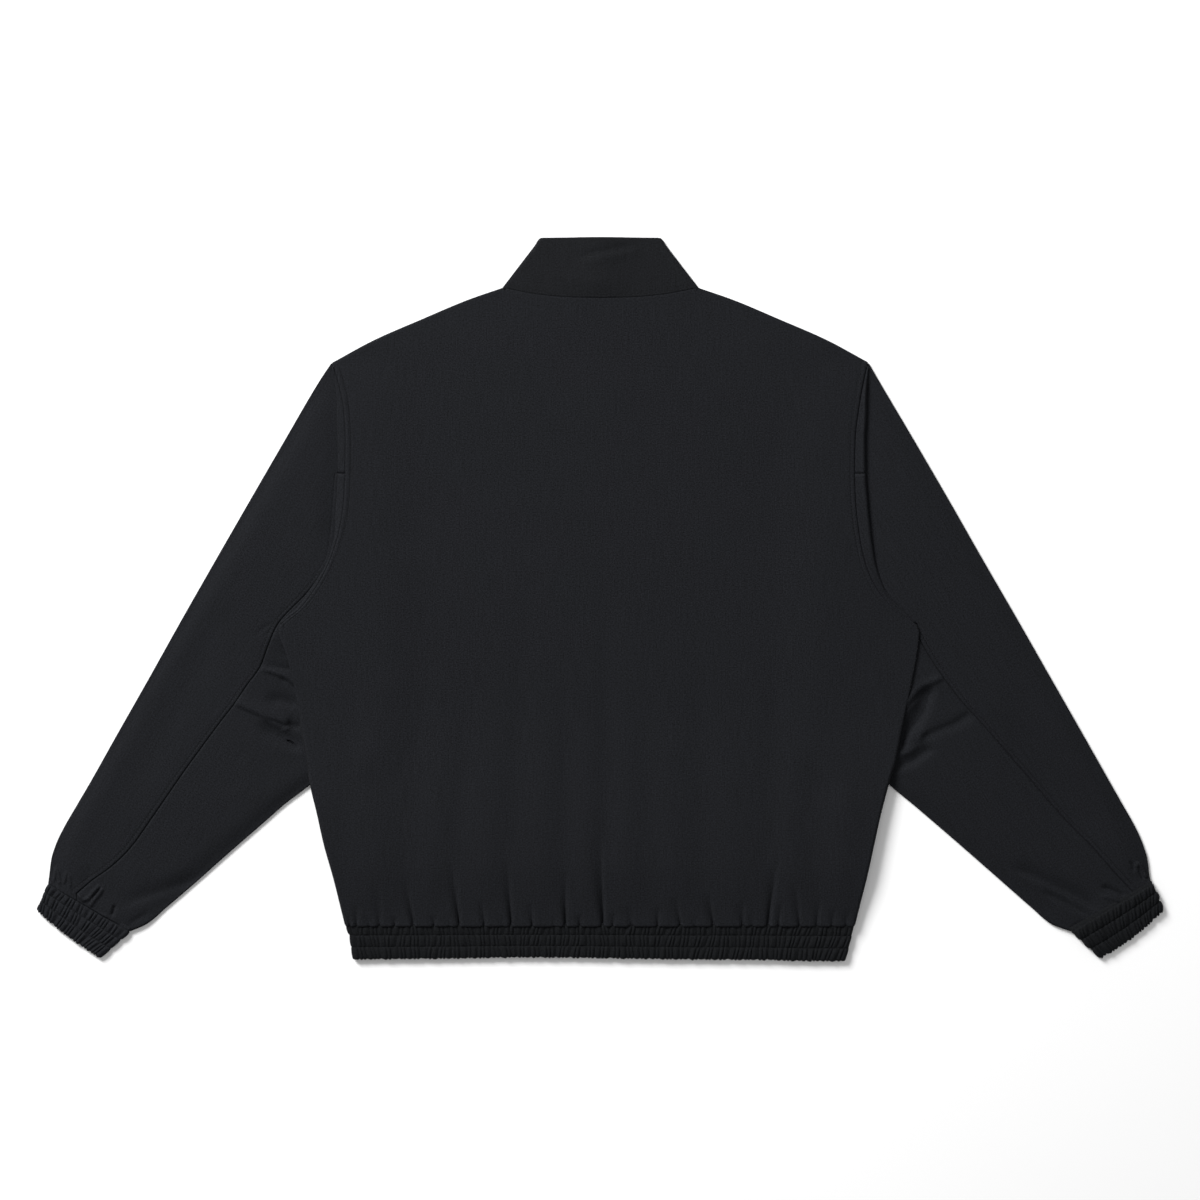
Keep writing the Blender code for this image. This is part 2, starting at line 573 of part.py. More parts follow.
def gather_shares(count):
    """Places of crests and valleys, two to a gather, unevenly spaced like a sewn elastic."""
    i = np.arange(2 * count + 1)
    return (i + 0.22 * np.sin(2.4 * i) + 0.12 * np.sin(5.1 * i)) / (2 * count)


def band_half(v, side):
    """Half width of the waistband from its seam (v = 0) to its lower edge (v = 1)."""
    ends = {"left": (253.9, 250.4, 247.5), "right": (253.1, 250.8, 244.8)}[side]
    return np.interp(v, [0.0, 0.35, 1.0], ends)


def waistband_loops():
    """Waistband as a flattened ring, open at the zip."""
    low_z = 0.5 * BAND_WALL
    radius = 0.5 * (BAND_TOP_Z - low_z)
    top_y, low_y = WAIST_Y - SEAM_GAP, BAND_BOTTOM_Y
    loops = []

    def station(share, side, z, normal, gather, scallop):
        upper = np.array([SIGN[side] * share * band_half(0.0, side), top_y])
        lower = np.array([SIGN[side] * share * band_half(1.0, side), low_y + scallop])
        loops.append(wall_loop(upper, lower, z, normal, BAND_WALL, gather, CHANNELS))

    def lower_ply(side, shares):
        for share in shares:
            station(share, side, low_z, PLAIN, 0.0, 0.5)

    def turn(side, angles):
        for angle in angles:
            share = 1.0 - (radius * (1.0 - np.cos(angle)) + 0.5 * BAND_WALL) / BAND_TURN_HALF
            normal = np.array([SIGN[side] * np.cos(angle), 0.0, np.sin(angle)])
            station(share, side, low_z + radius * (1.0 + np.sin(angle)), normal, 0.0, 0.5)

    gap = FRONT_EDGE / 254.0
    shares = np.linspace(gap, 0.97, 6)
    angles = np.radians([-60.0, 0.0, 60.0])
    lower_ply("left", shares)
    turn("left", angles)
    places = 2.0 * gather_shares(BAND_GATHERS)[1:-1] - 1.0
    for i, place in enumerate(places):
        crest = i % 2
        side = "left" if place < 0.0 else "right"
        station(abs(place) * 0.985, side, BAND_TOP_Z, FACE, 0.75 if crest else -0.15, -0.6 if crest else 0.7)
    turn("right", angles[::-1])
    lower_ply("right", shares[::-1])
    return np.array(loops)


def cuff_loops(side):
    """One cuff as a closed flattened ring."""
    low_z = 0.5 * CUFF_WALL
    radius = 0.5 * (CUFF_TOP_Z - low_z)
    seam = {key: np.array(value) for key, value in CUFF_SEAM.items()}
    end = {key: np.array(value) for key, value in CUFF_END.items()}
    across = (seam["outer"] - seam["inner"]) / np.linalg.norm(seam["outer"] - seam["inner"])
    down = np.array([across[1], -across[0]])
    loops = []

    def station(share, z, normal, gather, scallop):
        bow = CUFF_BOW * 4.0 * share * (1.0 - share)
        upper = seam["inner"] + (seam["outer"] - seam["inner"]) * share + down * SEAM_GAP
        lower = end["inner"] + (end["outer"] - end["inner"]) * share + down * (scallop + bow)
        loops.append(wall_loop(upper, lower, z, normal, CUFF_WALL, gather, CHANNELS))

    width = np.linalg.norm(end["outer"] - end["inner"])
    near = (radius + 0.5 * CUFF_WALL) / width
    for share in np.linspace(1.0 - near, near, 6):
        station(share, low_z, PLAIN, 0.0, 0.0)
    for share_end, facing in ((0.0, -1.0), (1.0, 1.0)):
        for angle in np.radians([-50.0, 0.0, 50.0])[::(1 if share_end == 0.0 else -1)]:
            inset = (radius * (1.0 - np.cos(angle)) + 0.5 * CUFF_WALL) / width
            normal = np.array([*(facing * np.cos(angle) * across), np.sin(angle)])
            share = share_end - facing * inset
            station(share, low_z + radius * (1.0 + np.sin(angle)), normal, 0.0, 0.0)
        if share_end == 0.0:
            for i, place in enumerate(gather_shares(CUFF_GATHERS)[1:-1]):
                crest = i % 2
                share = near + (1.0 - 2.0 * near) * place
                station(share, CUFF_TOP_Z, FACE, 0.7 if crest else -0.15, 0.6 if crest else -0.6)
    return mirrored(np.array(loops), side)


def plain_material(name, finish):
    """Plain rough finish of the given colour."""
    material = bpy.data.materials.new(name)
    material.use_nodes = True
    shader = material.node_tree.nodes["Principled BSDF"]
    colour, roughness = finish
    shader.inputs["Base Color"].default_value = (*colour, 1.0)
    shader.inputs["Roughness"].default_value = roughness
    shader.inputs["Metallic"].default_value = 1.0 if finish is METAL else 0.0
    return material


def add_object(name, mesh, finish):
    """Put a mesh in the scene under its name, with its finish."""
    mesh.materials.append(plain_material(name, finish))
    piece = bpy.data.objects.new(name, mesh)
    bpy.context.scene.collection.objects.link(piece)
    return piece


def sheet(name, points, wall, finish, keep=None):
    """Cloth of one wall thickness, half of it either side of a grid of points (rows, columns, 3)."""
    rows, columns = points.shape[:2]
    index = np.arange(rows * columns).reshape(rows, columns)
    corners = np.stack([index[:-1, :-1], index[:-1, 1:], index[1:, 1:], index[1:, :-1]], axis=-1)
    faces = corners.reshape(-1, 4) if keep is None else corners[keep]
    used, faces = np.unique(faces, return_inverse=True)
    mesh = bpy.data.meshes.new(name)
    mesh.from_pydata((points.reshape(-1, 3)[used] * MM).tolist(), [], faces.reshape(-1, 4).tolist())
    piece = add_object(name, mesh, finish)
    solid = piece.modifiers.new("Wall", "SOLIDIFY")
    solid.thickness = wall * MM
    solid.offset = 0.0
    return piece


def loft(name, loops, closed, finish):
    """Closed solid through loops of points, joined end to end or capped."""
    build = bmesh.new()
    rings = [[build.verts.new(point * MM) for point in loop] for loop in loops]
    pairs = list(zip(rings, rings[1:] + rings[:1]))
    for ring, following in pairs if closed else pairs[:-1]:
        for i in range(len(ring)):
            j = (i + 1) % len(ring)
            build.faces.new((ring[i], ring[j], following[j], following[i]))
    if not closed:
        build.faces.new(rings[0])
        build.faces.new(rings[-1][::-1])
    bmesh.ops.recalc_face_normals(build, faces=build.faces)
    return add_object(name, finished_mesh(name, build), finish)


# Zip sizes
CHAIN_HALF = 2.6
CHAIN_LOW, CHAIN_HIGH = 0.1, 1.25
TAPE_Z = 2.1
TAPE_INNER, TAPE_OUTER = 0.25, 14.0
ZIP_TOP_Y = 349.8
ZIP_BOTTOM_Y = -351.8
SLIDER_HALF = 4.5
SLIDER_LOW, SLIDER_HIGH = 2.4, 5.0
PULL_AXIS_Y, PULL_AXIS_Z = 354.2, 1.35


def zip_rows(end):
    """Rows along the zip, closer where it rises over the collar and the waistband."""
    return np.array([ZIP_BOTTOM_Y, -321.0, -315.0, -309.0, 266.0, 272.0, 279.0, 300.0, 307.0, 314.0, 321.0,
                     328.0, end])


def tape_points(side):
    """Grid over one zip tape, with a tongue beside the slider at the top."""
    y = np.append(zip_rows(ZIP_TOP_Y), [ZIP_TOP_Y + 0.5, 361.0])
    inner = np.where(y > ZIP_TOP_Y + 0.2, SLIDER_HALF + 0.5, TAPE_INNER)
    w = np.stack([inner, np.full_like(y, 7.5), np.full_like(y, TAPE_OUTER)], axis=1)
    z = np.broadcast_to((TAPE_Z + tape_lift(y))[:, None], w.shape)
    return mirrored(np.stack([w, np.broadcast_to(y[:, None], w.shape), z], axis=-1), side)


def add_chain():
    """Closed zip chain as a plain bar between the two front edges."""
    loops = []
    for y in zip_rows(ZIP_TOP_Y):
        lift = tape_lift(y)
        loops.append(np.array([(-CHAIN_HALF, y, CHAIN_LOW + lift), (CHAIN_HALF, y, CHAIN_LOW + lift),
                               (CHAIN_HALF, y, CHAIN_HIGH + lift), (-CHAIN_HALF, y, CHAIN_HIGH + lift)]))
    loft("zip_chain", loops, False, METAL)


def block(build, low, high):
    """Box between two corners, in millimetres."""
    made = bmesh.ops.create_cube(build, size=1.0)
    low, high = np.array(low) * MM, np.array(high) * MM
    for vertex in made["verts"]:
        for axis in range(3):
            vertex.co[axis] = low[axis] + (vertex.co[axis] + 0.5) * (high[axis] - low[axis])


def outline_solid(name, outline, low, high, finish):
    """Prism of a plan outline between two heights."""
    loops = [np.column_stack([outline, np.full(len(outline), z)]) for z in (low, high)]
    return loft(name, loops, False, finish)


def add_zip_box():
    """Retainer at the bottom of the zip."""
    outline = np.array([(-4.0, -359.3), (4.0, -359.3), (4.0, -352.3), (-4.0, -352.3)])
    outline_solid("zip_box", outline, 0.4, 3.0, METAL)


def add_slider():
    """Slider body with the arch on its outer face that carries the pull tab."""
    slider = outline_solid("zip_slider", np.array([
        (-3.2, 350.2), (3.2, 350.2), (SLIDER_HALF, 355.0), (SLIDER_HALF, 360.0), (2.0, 362.2), (-2.0, 362.2),
        (-SLIDER_HALF, 360.0), (-SLIDER_HALF, 355.0)]), SLIDER_LOW, SLIDER_HIGH, METAL)
    arch = arch_solid()
    unite(slider, arch, "Arch")


def arch_solid():
    """Arch in side view, sunk a little into the slider's face."""
    profile = [(352.4, 2.7), (352.4, 0.5), (352.8, 0.1), (358.2, 0.1), (358.6, 0.5), (358.6, 2.7), (357.9, 2.7),
               (357.9, 0.6), (353.1, 0.6), (353.1, 2.7)]
    build = bmesh.new()
    for x in (-0.8, 0.8):
        ring = [build.verts.new((x * MM, y * MM, z * MM)) for y, z in profile]
        build.faces.new(ring if x < 0 else ring[::-1])
    build.verts.ensure_lookup_table()
    count = len(profile)
    for i in range(count):
        j = (i + 1) % count
        build.faces.new((build.verts[j], build.verts[i], build.verts[count + i], build.verts[count + j]))
    bmesh.ops.recalc_face_normals(build, faces=build.faces)
    return add_tool("arch_tool", finished_mesh("arch_tool", build))


def finished_mesh(name, build):
    """Turn an edited mesh into mesh data and let the editor go."""
    mesh = bpy.data.meshes.new(name)
    build.to_mesh(mesh)
    build.free()
    return mesh


def add_tool(name, mesh):
    """A helper body that is only joined to another and isn't a part of its own."""
    tool = bpy.data.objects.new(name, mesh)
    bpy.context.scene.collection.objects.link(tool)
    tool.hide_render = True
    tool.display_type = "WIRE"
    return tool


def unite(piece, tool, name):
    """Join a helper body to a piece."""
    join = piece.modifiers.new(name, "BOOLEAN")
    join.operation = "UNION"
    join.object = tool


def pull_plate():
    """Plate of the pull tab with its two arms, in plan about the crossbar's axis."""
    plate = [(-3.0, -5.4), (-3.0, -21.0), (-2.2, -23.2), (0.0, -24.0), (2.2, -23.2), (3.0, -21.0), (3.0, -5.4),
             (2.8, 0.45), (1.25, 0.45), (1.25, -5.2), (-1.25, -5.2), (-1.25, 0.45), (-2.8, 0.45)]
    build = bmesh.new()
    rings = [[build.verts.new((x * MM, y * MM, z * MM)) for x, y in plate] for z in (-0.5, 0.3)]
    build.faces.new(rings[0])
    build.faces.new(rings[1][::-1])
    for i in range(len(plate)):
        j = (i + 1) % len(plate)
        build.faces.new((rings[0][i], rings[0][j], rings[1][j], rings[1][i]))
    bmesh.ops.recalc_face_normals(build, faces=build.faces)
    return finished_mesh("zip_pull", build)


def pull_bar():
    """Crossbar of the pull tab, about its own axis."""
    build = bmesh.new()
    block(build, (-1.9, -0.35, -0.35), (1.9, 0.35, 0.28))
    return finished_mesh("bar_tool", build)


def add_pull():
    """Pull tab: a plate with two arms and the crossbar that turns in the slider's arch."""
    pull = add_object("zip_pull", pull_plate(), METAL)
    pull.location = (0.0, PULL_AXIS_Y * MM, PULL_AXIS_Z * MM)
    crossbar = add_tool("bar_tool", pull_bar())
    crossbar.location = pull.location
    unite(pull, crossbar, "Crossbar")


def add_body():
    """Back and both fronts."""
    sheet("back", back_points(), BODY_WALL, CLOTH)
    for side in SIGN:
        sheet("front_" + side, front_points(side), BODY_WALL, CLOTH)


def add_sleeves():
    """Outer and under piece of each sleeve."""
    for side in SIGN:
        for name, piece in (("sleeve_outer_", outer_sleeve_points), ("sleeve_under_", under_sleeve_points)):
            points, keep = piece(side)
            sheet(name + side, mirrored(points, side), SLEEVE_WALL, CLOTH, keep)


def add_trim():
    """Collar, waistband and cuffs."""
    sheet("collar", collar_points(), COLLAR_WALL, RIBBED)
    loft("waistband", waistband_loops(), False, RIBBED)
    for side in SIGN:
        loft("cuff_" + side, cuff_loops(side), True, RIBBED)


def add_zip():
    """Tapes, chain, box, slider and pull tab."""
    for side in SIGN:
        sheet("zip_tape_" + side, tape_points(side), TAPE_WALL, TAPE)
    add_chain()
    add_zip_box()
    add_slider()
    add_pull()


def main():
    """Clear the scene and build every piece."""
    for item in list(bpy.data.objects):
        bpy.data.objects.remove(item, do_unlink=True)
    add_body()
    add_sleeves()
    add_trim()
    add_zip()


main()
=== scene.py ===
"""Bomber jacket lying flat on its front, photographed from straight above on a pale table.

Lengths are millimetres in the jacket's own frame until a mesh is made: x across, y from the hem to
the collar, z up from the table. A width w is the distance from the centre line, so that one formula
serves the left and the right side.
"""

import logging
import math
from dataclasses import dataclass, field
from enum import Enum

import bpy
import numpy as np
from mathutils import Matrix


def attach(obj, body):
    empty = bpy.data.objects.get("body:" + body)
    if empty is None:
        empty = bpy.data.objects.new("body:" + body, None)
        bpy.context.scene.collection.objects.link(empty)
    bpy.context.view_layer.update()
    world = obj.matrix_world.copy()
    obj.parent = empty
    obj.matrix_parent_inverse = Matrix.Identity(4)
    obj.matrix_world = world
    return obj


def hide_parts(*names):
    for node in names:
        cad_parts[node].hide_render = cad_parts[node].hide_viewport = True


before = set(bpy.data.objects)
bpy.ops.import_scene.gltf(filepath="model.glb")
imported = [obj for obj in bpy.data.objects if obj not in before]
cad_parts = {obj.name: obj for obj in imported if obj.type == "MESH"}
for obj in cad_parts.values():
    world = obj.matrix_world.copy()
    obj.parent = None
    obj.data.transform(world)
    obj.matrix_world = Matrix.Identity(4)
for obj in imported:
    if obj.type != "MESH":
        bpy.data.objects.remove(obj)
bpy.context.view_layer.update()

LOG = logging.getLogger("jacket")
MM = 0.001
Array = np.ndarray
Table = dict[str, Array]
Triple = tuple[float, float, float]
Pair = tuple[float, float]
Piece = bpy.types.Object
Material = bpy.types.Material
Socket = bpy.types.NodeSocket


class Side(Enum):
    """The photograph's left or right half of the jacket."""

    LEFT = -1
    RIGHT = 1

    @property
    def label(self) -> str:
        """Lower-case name used in node and piece names."""
        return self.name.lower()


# ---------------------------------------------------------------------------------------------
# Curves


def table(names: str, rows: list[tuple[float, ...]]) -> Table:
    """Name the columns of a small table.

    Args:
        names: Column names, separated by spaces.
        rows: Rows of numbers.

    Returns:
        One array for each column.
    """
    return dict(zip(names.split(), np.array(rows, dtype=float).T))


def ramp(value: Array, start: float | Array, end: float | Array) -> Array:
    """Smooth step: 3 s squared less 2 s cubed, where s runs from 0 at start to 1 at end.

    Args:
        value: Where to read the step.
        start: Place of the step's foot.
        end: Place of the step's head.

    Returns:
        Shares from 0 to 1.
    """
    share = np.clip((value - start) / (end - start), 0.0, 1.0)
    return share * share * (3.0 - 2.0 * share)


def bell(distance: Array, width: float | Array) -> Array:
    """Soft hump: e to the minus square of distance over width."""
    return np.exp(-((distance / width) ** 2))


def curve(x: Array, knots: Array, values: Array) -> Array:
    """Smooth reading of a rising table by cubic pieces that never overshoot their rows.

    Each piece is a Hermite cubic whose end slopes are the harmonic means of the chords beside them.

    Args:
        x: Where to read.
        knots: The table's first column, rising.
        values: The column to read.

    Returns:
        Values at x, held level beyond the table's ends.
    """
    step = np.diff(knots)
    slope = np.diff(values) / step
    product = slope[:-1] * slope[1:]
    total = slope[:-1] + slope[1:]
    inner = np.where(product > 0.0, 2.0 * product / np.where(total == 0.0, 1.0, total), 0.0)
    tangent = np.concatenate([slope[:1], inner, slope[-1:]])
    x = np.clip(x, knots[0], knots[-1])
    i = np.clip(np.searchsorted(knots, x) - 1, 0, len(step) - 1)
    t = (x - knots[i]) / step[i]
    start = values[i] * (1 + 2 * t) + tangent[i] * step[i] * t
    end = values[i + 1] * (3 - 2 * t) - tangent[i + 1] * step[i] * (1 - t)
    return start * (1 - t) ** 2 + end * t * t


def reading(rows: Table, place: Array, column: str) -> Array:
    """Smooth reading of a table's column at places along its first column."""
    return curve(place, next(iter(rows.values())), rows[column])


def refine(points: Array, count: int) -> Array:
    """Smooth each row of points with a Catmull-Rom curve through them.

    Args:
        points: Rows, columns, 3.
        count: Pieces made of each gap between columns.

    Returns:
        Rows, (columns - 1) * count + 1, 3.
    """
    before, after = 2 * points[:, :1] - points[:, 1:2], 2 * points[:, -1:] - points[:, -2:-1]
    padded = np.concatenate([before, points, after], axis=1)
    place = np.linspace(0.0, points.shape[1] - 1.0, (points.shape[1] - 1) * count + 1)
    i = np.minimum(place.astype(int), points.shape[1] - 2)
    t = (place - i)[:, None]
    a, b, c, d = (padded[:, i + k] for k in range(4))
    bend, twist = 2 * a - 5 * b + 4 * c - d, 3 * b - a - 3 * c + d
    return 0.5 * (2 * b + (c - a) * t + bend * t**2 + twist * t**3)


def near_path(x: Array, y: Array, path: Array) -> tuple[Array, Array]:
    """Signed distance from a bent line, and the share of its length passed.

    Each straight piece gives the distance to its nearest point, and the shortest of them counts. It
    is positive on the left of the line's direction.

    Args:
        x: Places across.
        y: Places along.
        path: Corners of the line (corners, 2).

    Returns:
        Distance and share, each shaped as x.
    """
    lengths = np.hypot(*np.diff(path, axis=0).T)
    passed = np.concatenate([[0.0], np.cumsum(lengths)])
    best = np.full(x.shape, 1e9)
    side = np.zeros(x.shape)
    share = np.zeros(x.shape)
    for k, length in enumerate(lengths):
        ux, uy = (path[k + 1] - path[k]) / length
        run = (x - path[k, 0]) * ux + (y - path[k, 1]) * uy
        off = (y - path[k, 1]) * ux - (x - path[k, 0]) * uy
        held = np.clip(run, 0.0, length)
        distance = np.hypot(off, run - held)
        closer = distance < best
        best = np.where(closer, distance, best)
        side = np.where(closer, np.where(off < 0.0, -1.0, 1.0), side)
        whole_run = run if len(lengths) == 1 else held
        share = np.where(closer, (passed[k] + whole_run) / passed[-1], share)
    return side * best, share


@dataclass(frozen=True)
class Crease:
    """One fold of the cloth along a bent line, with flanks of their own on each side.

    Attributes:
        path: Corners of the line, x and y.
        height: How far the cloth rises, or falls where it is negative.
        left: Width of the flank on the left of the line's direction.
        right: Width of the other flank; the same as the left where it isn't given.
        fade: Share of the line over which each end dies away.
    """

    path: tuple[Pair, ...]
    height: float
    left: float
    right: float | None = None
    fade: float = 0.25

    def lift(self, x: Array, y: Array) -> Array:
        """Height that the crease adds at x, y: a bell across the line, wide or sharp on each side."""
        off, share = near_path(x, y, np.array(self.path))
        ends = ramp(share, -0.02, self.fade) * (1.0 - ramp(share, 1.0 - self.fade, 1.02))
        width = np.where(off > 0.0, self.left, self.left if self.right is None else self.right)
        return self.height * bell(off, width) * ends


def creased(x: Array, y: Array, creases: list[Crease]) -> Array:
    """Sum of the heights of several creases."""
    total = np.zeros_like(x)
    for crease in creases:
        total += crease.lift(x, y)
    return total


# ---------------------------------------------------------------------------------------------
# The lay: where each edge and ply lies. In the tables, t counts the sleeve's cross lines from the
# shoulder to the cuff.


class Lay:
    """Edges, folds and ply heights of the jacket as it lies."""

    WAIST_Y = -325.0
    SHOULDER_Y = 236.6
    RISE = SHOULDER_Y - WAIST_Y
    UNDERARM_Y = -29.0
    NECK_HALF = 97.0
    FRONT_EDGE = 5.5
    FRONT_NECK_Y = 282.0
    NECK_CORNER_Y = 311.7
    COLLAR_TOP_Y = 361.2
    ROLL_GAP = 1.0

    FRONT_Z = 0.6
    FRONT_OVER_SLEEVE_Z = 5.0
    BACK_Z = 3.9
    SLEEVE_LOW_Z = 0.5
    SLEEVE_TOP_Z = 2.1
    TUCK_Z = 3.5
    STRIP_Z = 4.9
    BAND_TOP_Z = 4.4
    CUFF_TOP_Z = 3.0
    SEAM_ROW, STRIP_END = 4.0, 11.0
    TUCK_RADIUS = 0.5 * (TUCK_Z - SLEEVE_TOP_Z)

    BODY_EDGE = table("y left right", [
        (-325, 255.4, 254.4), (-308, 259.6, 258.6), (-276, 267.6, 266.6), (-244, 276.6, 273.6),
        (-212, 283.6, 280.6), (-184, 290.0, 288.0), (-160, 292.8, 295.0), (-134, 297.5, 300.0),
        (-110, 301.5, 304.8), (-84, 306.6, 310.5), (-54, 314.2, 316.0), (-29, 322.0, 318.5),
        (-20, 313.0, 306.5), (-10, 300.5, 293.5), (3, 290.2, 281.2), (22, 278.1, 269.8),
        (45, 267.8, 262.2), (70, 260.5, 257.8), (96, 256.4, 255.0), (126, 255.0, 253.9),
        (160, 254.6, 254.5), (192, 256.5, 258.3), (222, 263.0, 263.8), (236.6, 268.0, 267.2)])
    TOP_EDGE = table("w y", [
        (0, 302.0), (32, 302.6), (62, 305.2), (97, 311.7), (132, 299.6), (180, 279.4), (226, 259.3),
        (268, 236.6)])
    SLEEVE_OUTER = table("y left right", [
        (-286, 552.6, 551.2), (-276.5, 551.5, 549.2), (-260.5, 549.5, 547.2), (-244.5, 544.5, 542.3),
        (-228.5, 536.8, 535.2), (-204.5, 522.9, 521.7), (-180.5, 508.9, 508.1), (-140.5, 486.5, 485.5),
        (-80.5, 452.5, 451.3), (-20.5, 419.0, 417.1), (39.5, 384.8, 382.4), (99.5, 350.3, 348.2),
        (159.5, 315.6, 313.3), (219.5, 280.4, 277.9), (236, 269.4, 268.4)])
    SLEEVE_INNER = table("y left right", [
        (-332, 471.5, 471.5), (-324.5, 454.5, 451.6), (-308.5, 435.4, 432.4), (-284.5, 407.4, 405.0),
        (-252.5, 371.4, 368.6), (-220.5, 334.6, 331.6), (-204.5, 316.4, 312.8), (-184.5, 290.6, 289.0),
        (-165, 273, 272), (-145, 260, 260), (-115, 252, 252), (-85, 250, 250), (90, 250, 250)])
    SECTIONS = table("t outer inner", [
        (0, 235.6, 232.4), (1, 219.5, 213), (2, 189.5, 186), (3, 159.5, 158), (4, 129.5, 126),
        (5, 99.5, 98), (6, 69.5, 70), (7, 39.5, 45), (8, 9.5, 22), (9, -20.5, 2), (10, -50.5, -12),
        (11, -80.5, -25), (12, -110.5, -60), (13, -140.5, -100), (14, -165, -135), (15, -185, -165),
        (16, -204.5, -190), (17, -228.5, -220.5), (18, -244.5, -250), (19, -260.5, -282),
        (20, -272, -306), (21, -279.5, -322), (22, -284.5, -331.6)])
    BACK_SEAM = table("y left right", [
        (-294, 523.5, 534.0), (-281.5, 509.1, 522.0), (-266.5, 488.5, 508.5), (-249, 470.5, 493.4),
        (-220.5, 449.9, 465.2), (-172, 416.4, 423.4), (-123, 380.5, 380.6), (-103.5, 365.5, 362.8),
        (-85.5, 353.5, 348.6), (-67.5, 340.5, 336.0), (-46.5, 332.5, 323.0), (-26, 323.5, 311.0),
        (9.5, 291.0, 280.0), (25, 279.0, 272.5), (45, 267.5, 266.0), (70, 264.0, 263.0),
        (95, 262.0, 261.5), (125.6, 259.5, 259.5)])
    STRIP_WIDTH = table("y left right", [
        (-29, 1.6, 1.6), (-12, 4.5, 4.5), (3, 5.5, 6.0), (16, 5.5, 8.0), (37, 3.0, 10.0), (50, 3.0, 11.0),
        (93, 7.8, 12.0), (120, 7.5, 11.0), (177, 8.0, 9.0), (207, 5.0, 5.0), (232, 1.6, 1.6),
        (237, 1.1, 1.1)])
    BAND_EDGE = table("x y", [
        (-247, -360.0), (-200, -359.5), (-150, -359.1), (-80, -357.9), (-30, -358.2), (20, -359.0),
        (100, -360.1), (160, -360.4), (205, -361.6), (245, -361.7)])
    BACK_EDGE_Z = table("y z", [
        (-325, 4.4), (-300, 4.7), (-245, 5.2), (-192, 6.6), (60, 6.6), (100, 6.1), (130, 5.5), (195, 5.3),
        (222, 4.5), (236.6, 3.7)])
    PUFF = table("t left right", [
        (0, 0.1, 0.1), (1, 1.0, 0.9), (2, 2.0, 1.9), (4, 2.7, 2.2), (7, 2.9, 2.3), (9, 2.7, 2.4),
        (11, 2.4, 2.2), (13, 2.4, 2.4), (16, 2.8, 2.8), (19, 2.9, 2.9), (21, 2.0, 2.0), (22, 1.3, 1.3)])

    @classmethod
    def half_width(cls, y: Array, side: Side) -> Array:
        """Half width of the body at height y."""
        return reading(cls.BODY_EDGE, y, side.label)

    @classmethod
    def top_edge(cls, x: Array) -> Array:
        """Height of the back's upper edge: neck seam, then shoulder."""
        w = np.abs(x)
        neck = curve(w, cls.TOP_EDGE["w"][:4], cls.TOP_EDGE["y"][:4])
        shoulder = curve(w, cls.TOP_EDGE["w"][3:], cls.TOP_EDGE["y"][3:])
        return np.where(w < cls.NECK_HALF, neck, shoulder)

    @classmethod
    def front_top_edge(cls, x: Array) -> Array:
        """Front neck seam, a bowl that dips to the zip, then the shoulder."""
        w = np.abs(x)
        bowl = 1.0 - (np.minimum(w, cls.NECK_HALF) / cls.NECK_HALF) ** 2
        dip = (cls.NECK_CORNER_Y - cls.FRONT_NECK_Y) * bowl
        return np.where(w < cls.NECK_HALF, cls.NECK_CORNER_Y - dip, cls.top_edge(x))

    @classmethod
    def edge_z(cls, y: Array) -> Array:
        """Height of the back beside its side seam and armhole."""
        return reading(cls.BACK_EDGE_Z, y, "z")

    @classmethod
    def sleeve_inner_width(cls, y: Array, side: Side) -> Array:
        """Inner side of the sleeve: the armhole, then a fold hidden under the body."""
        hidden = reading(cls.SLEEVE_INNER, y, side.label)
        share = ramp(y, 34.0, 74.0)
        return hidden * (1.0 - share) + (cls.half_width(y, side) + 1.15) * share

    @classmethod
    def lift_width(cls, y: Array, side: Side) -> Array:
        """Where the body starts to lie on the sleeve tucked under it."""
        return np.minimum(cls.sleeve_inner_width(y, side), cls.half_width(y, side))

    @classmethod
    def front_z(cls, w: Array, y: Array, side: Side) -> Array:
        """Height of the front, which lies on the table and rises over the tucked sleeve."""
        rows = (1.0 - ramp(y, 74.0, 126.0)) * ramp(y, -246.0, -196.0)
        over = cls.lift_width(y, side)
        across = ramp(np.abs(w), over - 50.0, over - 7.0)
        return cls.FRONT_Z + (cls.FRONT_OVER_SLEEVE_Z - cls.FRONT_Z) * rows * across

    @classmethod
    def neck_z(cls, x: Array) -> Array:
        """Height of the back neck seam: a low arch."""
        return 3.2 + 1.1 * (1.0 - np.minimum((x / cls.NECK_HALF) ** 2, 1.0))

    @classmethod
    def back_z(cls, x: Array, y: Array) -> Array:
        """Height of the back's middle surface before its folds and rolled edges."""
        w = np.abs(x)
        over = np.where(x < 0.0, cls.lift_width(y, Side.LEFT), cls.lift_width(y, Side.RIGHT))
        middle = cls.BACK_Z + 0.5 * (1.0 - ramp(y, -325.0, -250.0))
        middle = middle + (cls.neck_z(x) - cls.BACK_Z) * ramp(y, 250.0, 300.0)
        return middle + (cls.edge_z(y) - middle) * ramp(w, over - 82.0, over - 26.0)

    @classmethod
    def slant(cls, y: Array, side: Side) -> Array:
        """How fast the body's half width grows with y."""
        return (cls.half_width(y + 1.0, side) - cls.half_width(y - 1.0, side)) / 2.0

    @classmethod
    def side_share(cls, y: Array) -> Array:
        """Share from 1 beside the side seam to 0 beside the armhole, as a column."""
        return (1.0 - ramp(y, cls.UNDERARM_Y - 6.0, cls.UNDERARM_Y + 2.0))[:, None]

    @classmethod
    def shoulder_share(cls, x: Array) -> Array:
        """Share from 0 under the neck seam to 1 along the shoulder."""
        return ramp(np.abs(x), cls.NECK_HALF + 1.0, cls.NECK_HALF + 12.0)

